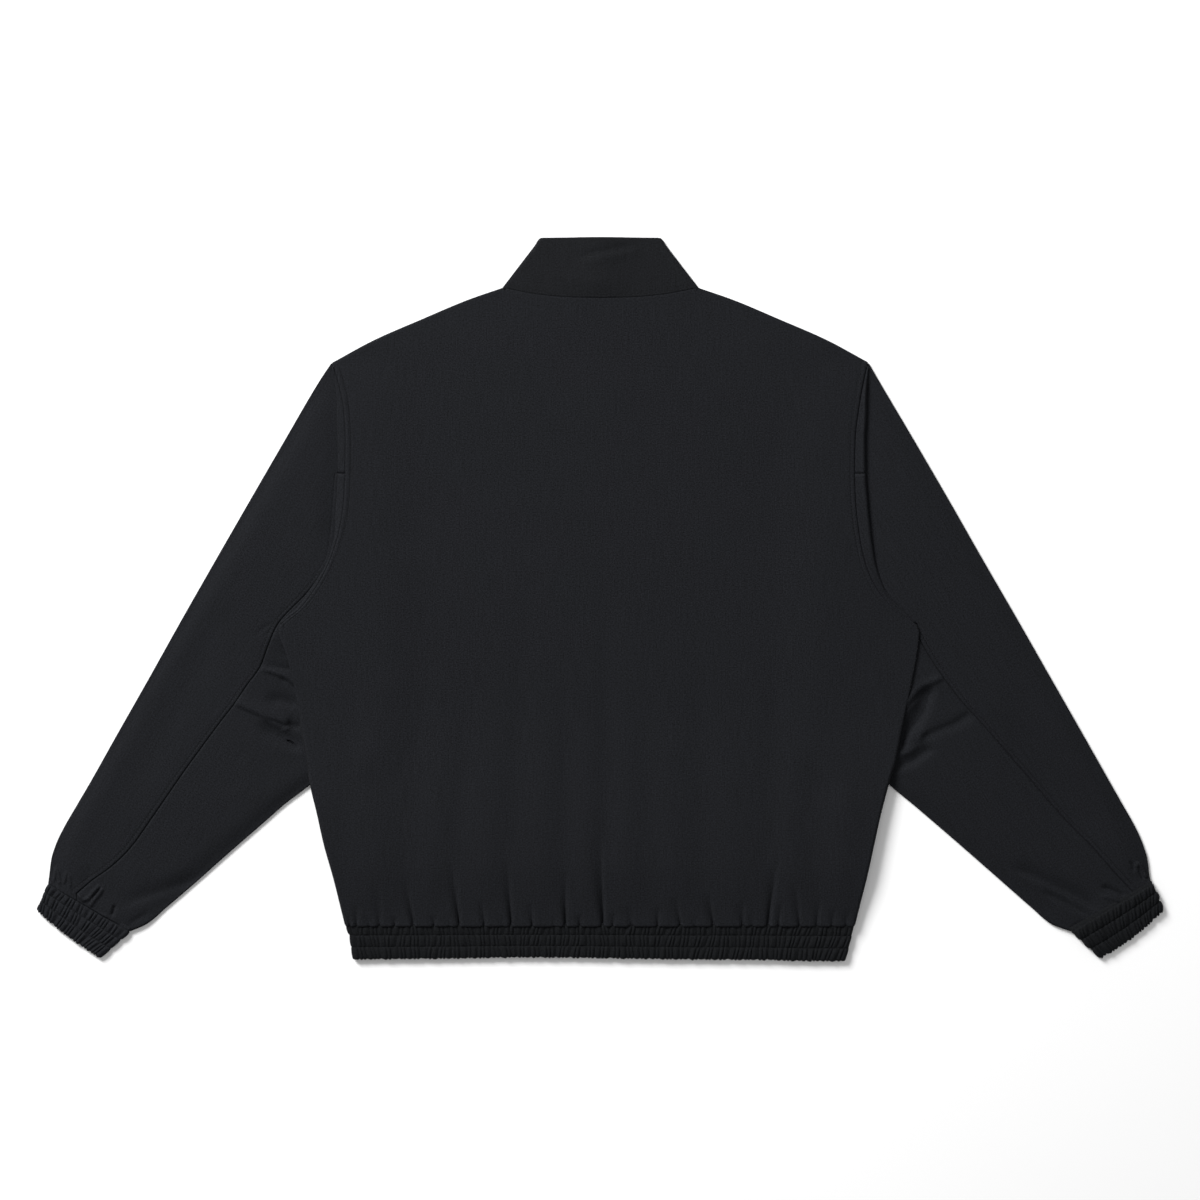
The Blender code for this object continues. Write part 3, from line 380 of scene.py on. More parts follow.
    @classmethod
    def side_seam_z(cls, y: Array, side: Side, ply: int) -> Array:
        """Height at the side seam of the back's cloth (ply 1) or the front's (ply -1), as a column."""
        x = side.value * cls.half_width(y, side)
        middle = 0.5 * (cls.back_z(x, y) + cls.front_z(x, y, side)) + 0.5 * ply * cls.ROLL_GAP
        return middle[:, None]

    @classmethod
    def shoulder_z(cls, ply: int) -> float:
        """Height at the shoulder seam of the back's cloth (ply 1) or the front's (ply -1)."""
        return 0.5 * (cls.BACK_Z + cls.FRONT_Z) + 0.5 * ply * cls.ROLL_GAP

    @classmethod
    def peek(cls, y: Array, side: Side) -> Array:
        """How far the front shows beyond the back where the left side seam turns to the back."""
        if side is Side.RIGHT:
            return np.zeros_like(y)
        return 1.5 * ramp(y, -190.0, -165.0) * (1.0 - ramp(y, -134.0, -118.0))

    @classmethod
    def sections(cls, t: Array, side: Side) -> tuple[Array, Array, Array]:
        """Outer and inner ends, (w, y), of the sleeve's cross lines t, and the lines' lengths."""
        outer_y, inner_y = reading(cls.SECTIONS, t, "outer"), reading(cls.SECTIONS, t, "inner")
        outer = np.stack([reading(cls.SLEEVE_OUTER, outer_y, side.label), outer_y], -1)
        inner = np.stack([cls.sleeve_inner_width(inner_y, side), inner_y], -1)
        return outer, inner, np.hypot(*(outer - inner).T)

    @classmethod
    def seam_share(cls, t: Array, side: Side) -> Array:
        """Share of each cross line, from its outer end, where the back sleeve seam crosses it.

        The seam's width at the crossing's own height is put back into the share until it settles.
        """
        outer, inner, _ = cls.sections(t, side)
        share = np.full(len(t), 0.5)
        for _ in range(60):
            y = outer[:, 1] + (inner[:, 1] - outer[:, 1]) * share
            w = reading(cls.BACK_SEAM, y, side.label)
            share = 0.5 * share + 0.5 * (outer[:, 0] - w) / (outer[:, 0] - inner[:, 0])
        return np.where(t <= cls.SEAM_ROW, 1.0, np.minimum(share, 1.0))


# ---------------------------------------------------------------------------------------------
# Finishes


class Graph:
    """A small helper that adds and joins nodes of one material."""

    def __init__(self, name: str) -> None:
        """Start an empty material with a Principled shader on its output."""
        self.material = bpy.data.materials.new(name)
        self.material.use_nodes = True
        self.tree = self.material.node_tree
        self.shader = self.tree.nodes["Principled BSDF"]

    def add(self, kind: str, **values: object) -> bpy.types.Node:
        """Add a node and set its properties and unlinked inputs.

        Args:
            kind: Node type without its ShaderNode prefix.
            values: Property or input names, with underscores for spaces, and their values.

        Returns:
            The new node.
        """
        node = self.tree.nodes.new("ShaderNode" + kind)
        for key, value in values.items():
            if hasattr(node, key):
                setattr(node, key, value)
            else:
                node.inputs[key.replace("_", " ")].default_value = value
        return node

    def join(self, start: Socket, end: Socket) -> None:
        """Link one socket to another."""
        self.tree.links.new(start, end)

    def maths(self, operation: str, *terms: object) -> Socket:
        """One Math node over sockets or numbers, and its result."""
        node = self.add("Math", operation=operation)
        for socket, term in zip(node.inputs, terms):
            if isinstance(term, Socket):
                self.join(term, socket)
            else:
                socket.default_value = term
        return node.outputs[0]

    def set(self, **values: object) -> None:
        """Set constants on the shader's own sockets."""
        for key, value in values.items():
            self.shader.inputs[key.replace("_", " ")].default_value = value

    def own_place(self) -> Socket:
        """Object coordinates of the piece, metres."""
        return self.add("TexCoord").outputs["Object"]

    def stretched(self, source: Socket, scale: Triple, turn: float = 0.0) -> Socket:
        """Coordinates scaled along each axis and turned in their plane."""
        node = self.add("Mapping")
        node.inputs["Scale"].default_value = scale
        node.inputs["Rotation"].default_value = (0.0, 0.0, turn)
        self.join(source, node.inputs["Vector"])
        return node.outputs["Vector"]

    def noise(self, source: Socket, scale: float, detail: float = 2.0) -> Socket:
        """Grey noise from 0 to 1."""
        node = self.add("TexNoise", Scale=scale, Detail=detail)
        self.join(source, node.inputs["Vector"])
        return node.outputs[0]

    def tinted(self, colour: Triple, factor: Socket) -> None:
        """Base colour times a grey factor."""
        node = self.add("MixRGB", blend_type="MULTIPLY")
        node.inputs[0].default_value = 1.0
        node.inputs[1].default_value = (*colour, 1.0)
        self.join(factor, node.inputs[2])
        self.join(node.outputs[0], self.shader.inputs["Base Color"])

    def relief(self, height: Socket, strength: float, depth: float) -> None:
        """Bump from a grey height, depth metres from black to white."""
        node = self.add("Bump", Strength=strength, Distance=depth)
        self.join(height, node.inputs["Height"])
        self.join(node.outputs["Normal"], self.shader.inputs["Normal"])


WAVE_PERIOD = 2.0 * math.pi / 20.0


@dataclass(frozen=True)
class WovenFinish:
    """Matt twill cloth, its pattern laid on the piece's own cloth coordinates in metres.

    Attributes:
        name: Material name.
        colour: Linear base colour.
        roughness: Surface roughness.
        gloss: Specular level of the yarn.
        sheen: Weight of the fuzz that catches light at low angles.
        rib: Spacing of the twill's ribs, mm.
        depth: Height of the ribs, mm.
        slub: Contrast of the fine lengthwise streaks.
        fleck: Contrast of the grain of single yarns.
    """

    name: str
    colour: Triple
    roughness: float = 0.86
    gloss: float = 0.09
    sheen: float = 0.008
    rib: float = 0.85
    depth: float = 0.10
    slub: float = 0.68
    fleck: float = 2.3

    def material(self) -> Material:
        """Build the material.

        Returns:
            Twill ribs as a wave across slanting coordinates, yarn noise along the grain and a faint
            cloudiness, multiplied into the colour; ribs and yarn also make the relief.
        """
        graph = Graph(self.name)
        place = graph.add("UVMap", uv_map="cloth").outputs["UV"]
        wave = graph.add("TexWave", Scale=WAVE_PERIOD / (self.rib * MM), Distortion=0.6, Detail=1.0)
        graph.join(graph.stretched(place, (1.0, 1.0, 1.0), math.radians(27.0)), wave.inputs["Vector"])
        ribs = wave.outputs["Fac"]
        yarn = graph.noise(graph.stretched(place, (1.0, 0.035, 1.0)), 950.0, 3.0)
        grain = graph.noise(place, 740.0, 1.0)
        cloud = graph.noise(place, 9.0, 2.0)
        factor = 1.0
        for pattern, contrast in ((yarn, self.slub), (ribs, 0.22), (grain, self.fleck), (cloud, 0.10)):
            factor = graph.maths("MULTIPLY_ADD", graph.maths("SUBTRACT", pattern, 0.5), contrast, factor)
        graph.tinted(self.colour, factor)
        graph.relief(graph.maths("MULTIPLY_ADD", yarn, 0.6, ribs), 0.5, self.depth * MM)
        graph.set(Roughness=self.roughness, Specular_IOR_Level=self.gloss, Sheen_Weight=self.sheen,
                  Sheen_Roughness=0.45)
        return graph.material


@dataclass(frozen=True)
class ThreadFinish:
    """Twisted polyester thread, tone on tone with the cloth."""

    name: str
    colour: Triple
    roughness: float = 0.7
    gloss: float = 0.08

    def material(self) -> Material:
        """Fine noise over the colour and a slight lustre."""
        graph = Graph(self.name)
        place = graph.own_place()
        strands = graph.noise(graph.stretched(place, (3.0, 1.0, 1.0), 0.5), 1800.0)
        graph.tinted(self.colour, graph.maths("MULTIPLY_ADD", strands, 0.5, 0.75))
        graph.relief(strands, 0.4, 0.0001)
        graph.set(Roughness=self.roughness, Specular_IOR_Level=self.gloss)
        return graph.material


@dataclass(frozen=True)
class TapeFinish:
    """Herringbone zip tape on object coordinates."""

    name: str
    colour: Triple
    roughness: float = 0.75

    def material(self) -> Material:
        """Fine lengthwise ribs crossed by noise."""
        graph = Graph(self.name)
        place = graph.own_place()
        wave = graph.add("TexWave", Scale=WAVE_PERIOD / (0.9 * MM), Distortion=1.5, Detail=1.0)
        graph.join(place, wave.inputs["Vector"])
        yarn = graph.noise(graph.stretched(place, (0.4, 1.0, 1.0)), 1600.0)
        height = graph.maths("MULTIPLY_ADD", yarn, 0.5, wave.outputs["Fac"])
        graph.tinted(self.colour, graph.maths("MULTIPLY_ADD", height, 0.3, 0.8))
        graph.relief(height, 0.5, 0.0001)
        graph.set(Roughness=self.roughness, Specular_IOR_Level=0.25, Sheen_Weight=0.1)
        return graph.material


@dataclass(frozen=True)
class MetalFinish:
    """Dark plated metal with faint handling wear."""

    name: str
    colour: Triple
    roughness: float = 0.32

    def material(self) -> Material:
        """Cloudy tone and a fine satin grain under a thin lacquer."""
        graph = Graph(self.name)
        place = graph.own_place()
        cloud = graph.noise(place, 260.0, 4.0)
        grain = graph.noise(graph.stretched(place, (6.0, 1.0, 1.0)), 1500.0)
        graph.tinted(self.colour, graph.maths("MULTIPLY_ADD", cloud, 0.3, 0.85))
        graph.relief(grain, 0.2, 0.00005)
        graph.set(Metallic=1.0, Roughness=self.roughness, Coat_Weight=0.15, Coat_Roughness=0.25)
        return graph.material


@dataclass(frozen=True)
class TableFinish:
    """Plain pale table."""

    name: str = "table_white"
    colour: Triple = (0.88, 0.88, 0.88)

    def material(self) -> Material:
        """Matt white with no pattern."""
        graph = Graph(self.name)
        graph.set(Base_Color=(*self.colour, 1.0), Roughness=0.9, Specular_IOR_Level=0.2)
        return graph.material


Finish = WovenFinish | ThreadFinish | TapeFinish | MetalFinish | TableFinish

SHELL_CLOTH = WovenFinish("shell_twill", (0.0074, 0.0080, 0.0097))
TRIM_LIGHT = WovenFinish("trim_twill_light", (0.0066, 0.0071, 0.0083), depth=0.08)
# The next finish is the trim twill darkened as painted shade: the self-shadow of deep gathers on the
# waistband and right cuff, and the right cuff lying away from the light.
TRIM_PAINTED_SHADE = WovenFinish("trim_twill_painted_shade", (0.0047, 0.0052, 0.0060), depth=0.08)
THREAD = ThreadFinish("sewing_thread", (0.0030, 0.0032, 0.0036))
TAPE = TapeFinish("zip_tape", (0.0090, 0.0095, 0.0105))
METAL = MetalFinish("zip_metal", (0.20, 0.205, 0.215))


# ---------------------------------------------------------------------------------------------
# Meshes


def quads(rows: int, columns: int, closed: bool = False) -> Array:
    """Corner numbers of a grid's faces.

    Args:
        rows: Points down the grid.
        columns: Points across it.
        closed: Whether the last column joins the first.

    Returns:
        Faces as (rows - 1, gaps, 4).
    """
    index = np.arange(rows * columns).reshape(rows, columns)
    if closed:
        index = np.concatenate([index, index[:, :1]], axis=1)
    return np.stack([index[:-1, :-1], index[:-1, 1:], index[1:, 1:], index[1:, :-1]], axis=-1)


def make_mesh(name: str, points: Array, faces: Array, grain: float | None = None) -> Piece:
    """Put numpy points and faces of one size into a smooth mesh object.

    Args:
        name: Object name.
        points: Points in millimetres (n, 3).
        faces: Corner numbers (m, k).
        grain: Direction of the cloth's length from the y axis, in radians. Where it is given, a
            cloth map holds each corner's place in metres, turned by it.

    Returns:
        The object, linked and at the origin.
    """
    count = faces.shape[1]
    mesh = bpy.data.meshes.new(name)
    mesh.vertices.add(len(points))
    mesh.vertices.foreach_set("co", (points * MM).astype(np.float32).ravel())
    mesh.loops.add(faces.size)
    mesh.loops.foreach_set("vertex_index", faces.astype(np.int32).ravel())
    mesh.polygons.add(len(faces))
    mesh.polygons.foreach_set("loop_start", np.arange(0, faces.size, count, dtype=np.int32))
    mesh.polygons.foreach_set("use_smooth", np.ones(len(faces), dtype=bool))
    mesh.update(calc_edges=True)
    if grain is not None:
        plan = points[faces.ravel(), :2] * MM
        across = plan[:, 0] * math.cos(grain) + plan[:, 1] * math.sin(grain)
        along = plan[:, 1] * math.cos(grain) - plan[:, 0] * math.sin(grain)
        layer = mesh.uv_layers.new(name="cloth")
        layer.data.foreach_set("uv", np.stack([across, along], -1).astype(np.float32).ravel())
    mesh.validate()
    piece = bpy.data.objects.new(name, mesh)
    bpy.context.scene.collection.objects.link(piece)
    return piece


@dataclass
class Cloth:
    """A piece of cloth: a grid of points, a wall and how it was cut.

    Attributes:
        name: Piece name; the piece stands for the CAD node of the same name without its ending.
        points: Grid of points (rows, columns, 3), mm.
        wall: Thickness, mm.
        cut: Width and length of the flat piece, m; not used.
        area: Area of the flat piece, square metres; not used.
        held: How the cloth is held; not used.
        slot: Slot of the record; not used.
        finish: Its finish.
        keep: Faces that exist, where not all of the grid does.
        closed: Whether the grid closes on itself across.
        offset: Where the wall stands: 0 on both sides of the points, 1 on the side that the grid
            faces, -1 on the other.
        grain: Direction of the cloth's length, radians from the y axis.
        rests_on: What the piece lies on; not used.
    """

    name: str
    points: Array
    wall: float
    cut: Pair
    area: float
    held: str = "laid"
    slot: str = "shell_cloth"
    finish: WovenFinish = SHELL_CLOTH
    keep: Array | None = None
    closed: bool = False
    offset: float = 0.0
    grain: float = 0.0
    rests_on: tuple[str, ...] = ("table",)

    def build(self) -> Piece:
        """Returns:
            The finished piece.
        """
        rows, columns = self.points.shape[:2]
        faces = quads(rows, columns, self.closed)
        faces = faces.reshape(-1, 4) if self.keep is None else faces[self.keep]
        used, faces = np.unique(faces, return_inverse=True)
        piece = make_mesh(self.name, self.points.reshape(-1, 3)[used], faces.reshape(-1, 4), self.grain)
        wall = piece.modifiers.new("Wall", "SOLIDIFY")
        wall.thickness = self.wall * MM
        wall.offset = self.offset
        piece.data.materials.append(material_of(self.finish))
        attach(piece, "jacket")
        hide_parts(self.name.removesuffix("_cloth"))
        LOG.info("%s: %d faces", self.name, len(faces))
        return piece


MATERIALS: dict[str, Material] = {}


def material_of(finish: Finish) -> Material:
    """The finish's material, made once."""
    if finish.name not in MATERIALS:
        MATERIALS[finish.name] = finish.material()
    return MATERIALS[finish.name]


def across(points: Array, side: Side) -> Array:
    """Turn widths into x on the given side."""
    return points * np.array([side.value, 1.0, 1.0])


def fall(distance: Array, radius: float) -> Array:
    """Share of the way down a rolled edge: a quarter circle from 1 at the edge to 0 a radius in."""
    inside = np.clip(distance / radius, 0.0, 1.0)
    return 1.0 - np.sqrt(1.0 - (1.0 - inside) ** 2)


# ---------------------------------------------------------------------------------------------
# Body


@dataclass
class Back:
    """Back panel, with gathers at the waist seam and soft lengthwise drapes.

    Attributes:
        wall: Thickness.
        hem_rise: How far the cloth stands over the waist seam.
        blouse: How much farther it stands above it.
        seam_z: Height of the waist seam.
        row_inset: From the armhole to its row of stitches.
        columns: Points across, before the side edges are made finer.
        gathers: For each one its place, lean, depth, width, reach up the back and skew.
        drapes: For each one x at its lower and upper end, width, height, and y at both ends.
        creases: Other soft folds.
    """

    wall: float = 1.2
    hem_rise: float = 3.6
    blouse: float = 3.4
    seam_z: float = 5.5
    row_inset: float = 4.6
    columns: int = 300
    gathers: Table = field(default_factory=lambda: table("x lean depth width reach skew", [
        (-250.5, 0.00, 0.45, 1.6, 14, 0.45), (-243.5, 0.06, 0.60, 1.6, 22, 0.70),
        (-231, 0.0, 0.30, 1.5, 9, 0.45), (-220.5, -0.05, 0.45, 2.0, 44, 0.45),
        (-205.5, 0.0, 0.55, 1.4, 9, 0.45), (-186.5, -0.16, 0.95, 1.8, 46, 0.80),
        (-166, 0.0, 0.65, 1.4, 10, 0.70), (-151, 0.02, 0.25, 1.6, 12, 0.45),
        (-140.5, -0.12, 1.15, 1.7, 62, 0.80), (-115.5, -0.12, 0.75, 1.7, 26, 0.70),
        (-98, 0.0, 0.25, 1.5, 10, 0.45), (-88.5, -0.06, 1.10, 1.8, 66, 0.80),
        (-67.5, -0.10, 0.75, 1.7, 22, 0.70), (-46, 0.0, 0.25, 1.5, 9, 0.45),
        (-34.5, 0.01, 1.10, 1.7, 54, 0.80), (-20.5, 0.0, 0.75, 1.6, 10, 0.70),
        (3.5, -0.04, 1.35, 2.4, 88, 0.80), (12.5, 0.1, 0.55, 1.4, 12, 0.45),
        (31.5, -0.26, 0.55, 2.4, 20, 0.45), (57.5, 0.05, 0.70, 1.6, 18, 0.70),
        (80.5, -0.18, 0.85, 2.0, 28, 0.70), (95, 0.0, 0.25, 1.5, 10, 0.45),
        (113.5, -0.14, 1.05, 1.9, 32, 0.80), (142.5, -0.05, 0.75, 1.8, 22, 0.70),
        (151.5, -0.3, 0.45, 1.6, 10, 0.45), (168, 0.14, 1.10, 1.9, 64, 0.80),
        (178.5, 0.1, 0.65, 1.7, 22, 0.70), (199.5, -0.1, 0.75, 1.8, 44, 0.70),
        (216.5, 0.1, 0.70, 1.7, 26, 0.70), (232, 0.1, 0.60, 1.6, 16, 0.70),
        (245.5, 0.06, 0.50, 1.6, 14, 0.45)]))
    drapes: Table = field(default_factory=lambda: table("low high width height y0 y1", [
        (-262, -246, 13, -0.7, -315, -60), (-228, -214, 16, 0.5, -320, -120),
        (-196, -180, 14, -0.6, -315, -40), (-170, -158, 12, 0.5, -310, -90),
        (-146, -128, 11, -0.7, -290, -60), (-118, -104, 12, 0.5, -320, -110),
        (-90, -72, 12, -0.7, -290, 60), (-62, -52, 12, 0.5, -320, -90), (-35, -34, 10, -0.7, -290, -60),
        (-14, -12, 12, 0.6, -320, -120), (5, 8, 11, -0.9, -290, 40), (28, 24, 12, 0.5, -320, -150),
        (52, 44, 12, -0.5, -310, -70), (76, 70, 14, 0.5, -320, -110), (104, 98, 13, -0.6, -310, 20),
        (136, 128, 14, 0.5, -310, -120), (166, 178, 13, -0.8, -290, -30), (190, 196, 12, 0.6, -320, -110),
        (214, 226, 13, -0.6, -315, -80), (240, 250, 12, 0.5, -310, -120)]))
    creases: list[Crease] = field(default_factory=lambda: [
        Crease(((-205, 205), (-160, 120), (-140, 20)), -0.45, 26.0, fade=0.4),
        Crease(((205, 205), (160, 120), (150, 10)), -0.45, 26.0, fade=0.4),
        Crease(((-30, 262), (0, 200), (4, 60)), 0.35, 34.0, fade=0.4),
    ])

    def gather_share(self, x: Array, y: Array) -> Array:
        """How deep in a gather x, y lies, from 0 to about 1.3.

        Each gather is a bell across a leaning line. It widens and fades up the back, and its skew
        makes one flank steeper than the other.
        """
        share = np.zeros_like(x)
        up = y - Lay.WAIST_Y
        for x0, lean, depth, width, reach, skew in zip(*self.gathers.values()):
            run = np.clip(up / reach, 0.0, 1.0)
            off = x - x0 - lean * np.clip(up, 0.0, reach)
            spread = width * (1.25 + 2.6 * run) * np.where(off > 0.0, 1.0 - skew, 1.0)
            share = np.maximum(share, depth * (1.0 - run) ** 0.8 * bell(off, spread))
        return share

    def height(self, x: Array, y: Array) -> Array:
        """Middle height of the back: the lay, the fullness over the waist seam, gathers and drapes."""
        up = y - Lay.WAIST_Y
        puff = self.hem_rise + self.blouse * ramp(up, 0.0, 62.0)
        z = Lay.back_z(x, y) + puff * (1.0 - ramp(up, 60.0, 230.0))
        depth = self.hem_rise * (1.0 - 0.45 * ramp(up, 6.0, 90.0))
        z = z - depth * self.gather_share(x, y)
        for low, high, width, height, y0, y1 in zip(*self.drapes.values()):
            share = (y - y0) / (y1 - y0)
            off = x - (low + (high - low) * share)
            fade = ramp(share, -0.1, 0.15) * (1.0 - ramp(share, 0.45, 1.1))
            z = z + height * fade * bell(off, width)
        return z + creased(x, y, self.creases)

    def place(self) -> Array:
        """Grid of points over the back, with the lower edge rolled over the waist seam.

        Columns crowd round the gathers. The first rows are a half circle that bulges past the seam
        by as much as the cloth stands over it. Side seams and shoulders roll down.
        """
        x_fine = np.linspace(-256.0, 256.0, 4001)
        in_gather = self.gather_share(x_fine, np.full_like(x_fine, Lay.WAIST_Y + 2.0))
        crowd = 1.0 + 1.4 * np.clip(in_gather * 1.5, 0, 1)
        total = np.concatenate([[0.0], np.cumsum(0.5 * (crowd[1:] + crowd[:-1]))])
        places = np.interp(np.linspace(0.0, total[-1], self.columns), total, x_fine)
        share = (places - places[0]) / (places[-1] - places[0])
        mean_width = 530.0
        edge = np.array([0.0, 0.4, 1.0, 1.9, 2.8, 3.7, 4.6, 5.5, 6.6]) / mean_width
        share = np.concatenate([edge, share[(share > 0.014) & (share < 0.986)], 1.0 - edge[::-1]])
        up = np.concatenate([np.arange(0.0, 60.0, 2.2), np.arange(60.0, 120.0, 3.6),
                             np.arange(120.0, 548.0, 6.4),
                             Lay.RISE - np.array([10.0, 6.0, 4.0, 2.6, 1.7, 1.0, 0.5, 0.2, 0.05, 0.0])])
        side_y = Lay.WAIST_Y + up
        left, right = -Lay.half_width(side_y, Side.LEFT), Lay.half_width(side_y, Side.RIGHT)
        x = left[:, None] * (1 - share) + right[:, None] * share
        top = Lay.top_edge(x[-1])
        y = Lay.WAIST_Y + (top - Lay.WAIST_Y) * (up / up[-1])[:, None]
        z = self.height(x, y)
        for side, edge in ((Side.LEFT, left), (Side.RIGHT, right)):
            z = self.roll_side(x, z, edge[:, None], side_y, side)
        z = self.roll_shoulder(x, y, z, top)
        body = np.stack([x, y, z], axis=-1)
        return np.concatenate([self.hem_roll(body[0]), body], axis=0)

    def roll_side(self, x: Array, z: Array, edge: Array, side_y: Array, side: Side) -> Array:
        """Shape one side edge of the back.

        Below the underarm the cloth rolls down to the front. Beside the armhole its edge dips, the
        strip over the seam allowance stands up a little and the row of stitches sinks.
        """
        below = Lay.side_share(side_y)
        distance = np.abs(x - edge)
        side_drop = (z - Lay.side_seam_z(side_y, side, 1)) * fall(distance, 2.4) * below
        armhole_drop = 0.9 * fall(distance, 1.4) * (1.0 - below)
        groove = 0.30 * bell(distance - self.row_inset, 0.8) * (1.0 - below)
        raised = 0.12 * ramp(distance, 0.0, 1.0) * (1.0 - ramp(distance, 3.8, 5.0)) * (1.0 - below)
        return z - side_drop - armhole_drop - groove + raised

    def roll_shoulder(self, x: Array, y: Array, z: Array, top: Array) -> Array:
        """Turn the upper edge over the shoulder, and dip it to the neck seam between the shoulders."""
        shoulder = Lay.shoulder_share(x)
        z = z - (z - Lay.shoulder_z(1)) * fall(top - y, 2.2) * shoulder
        return z - 0.6 * fall(top - y, 1.6) * (1.0 - shoulder)

    def hem_roll(self, edge: Array) -> Array:
        """Rows below the first row of the back: a half circle from the waist seam to the cloth's top.

        The radius is half of what the cloth stands over the seam, so gathers pinch to the seam and
        the cloth between them bulges over the band.
        """
        radius = np.maximum(0.5 * (edge[:, 2] - self.seam_z), 0.1)
        angle = np.radians(np.linspace(-90.0, 75.0, 7))[:, None]
        y = edge[:, 1] - 0.4 - 1.15 * radius * np.cos(angle) + 0.9 * (1.35 - radius)
        z = self.seam_z + radius * (1.0 + np.sin(angle))
        return np.stack([np.broadcast_to(edge[:, 0], y.shape), y, z], axis=-1)

    def build(self) -> Piece:
        """Make the back."""
        return Cloth("back_cloth", self.place(), self.wall, (0.66, 0.67), 0.37,
                     rests_on=("front_left_cloth", "front_right_cloth")).build()


@dataclass
class Front:
    """One front panel, lying on the table under the back."""

    side: Side
    wall: float = 1.2
    creases: list[Crease] = field(default_factory=lambda: [
        Crease(((60, -300), (70, -180), (85, -60)), 0.5, 9.0),
        Crease(((130, -305), (140, -200), (160, -90)), 0.6, 10.0),
        Crease(((200, -300), (210, -220), (225, -120)), 0.5, 9.0),
    ])

    def place(self) -> Array:
        """Grid of points from the zip's edge out to the side seam, hem to neck and shoulder."""
        share = np.concatenate([np.linspace(0.0, 0.985, 64), [0.990, 0.994, 0.997, 0.999, 1.0]])
        up = np.concatenate([np.linspace(0.0, 555.0, 100), [558.0, 560.0, 561.0, Lay.RISE]])
        side_y = Lay.WAIST_Y + up
        edge = (Lay.half_width(side_y, self.side) + Lay.peek(side_y, self.side))[:, None]
        w = Lay.FRONT_EDGE + (edge - Lay.FRONT_EDGE) * share
        top = Lay.front_top_edge(w[-1])
        y = Lay.WAIST_Y + (top - Lay.WAIST_Y) * (up / up[-1])[:, None]
        z = Lay.front_z(w, y, self.side) + creased(w, y, self.creases)
        side_z = Lay.side_seam_z(side_y, self.side, -1)
        z = z - (z - side_z) * fall(edge - w, 0.9) * Lay.side_share(side_y)
        z = z - (z - Lay.shoulder_z(-1)) * fall(top - y, 1.8) * Lay.shoulder_share(w)
        return across(np.stack([w, y, z], axis=-1), self.side)

    def build(self) -> Piece:
        """Make the front."""
        name = f"front_{self.side.label}_cloth"
        return Cloth(name, self.place(), self.wall, (0.33, 0.66), 0.175).build()


# ---------------------------------------------------------------------------------------------
# Sleeves

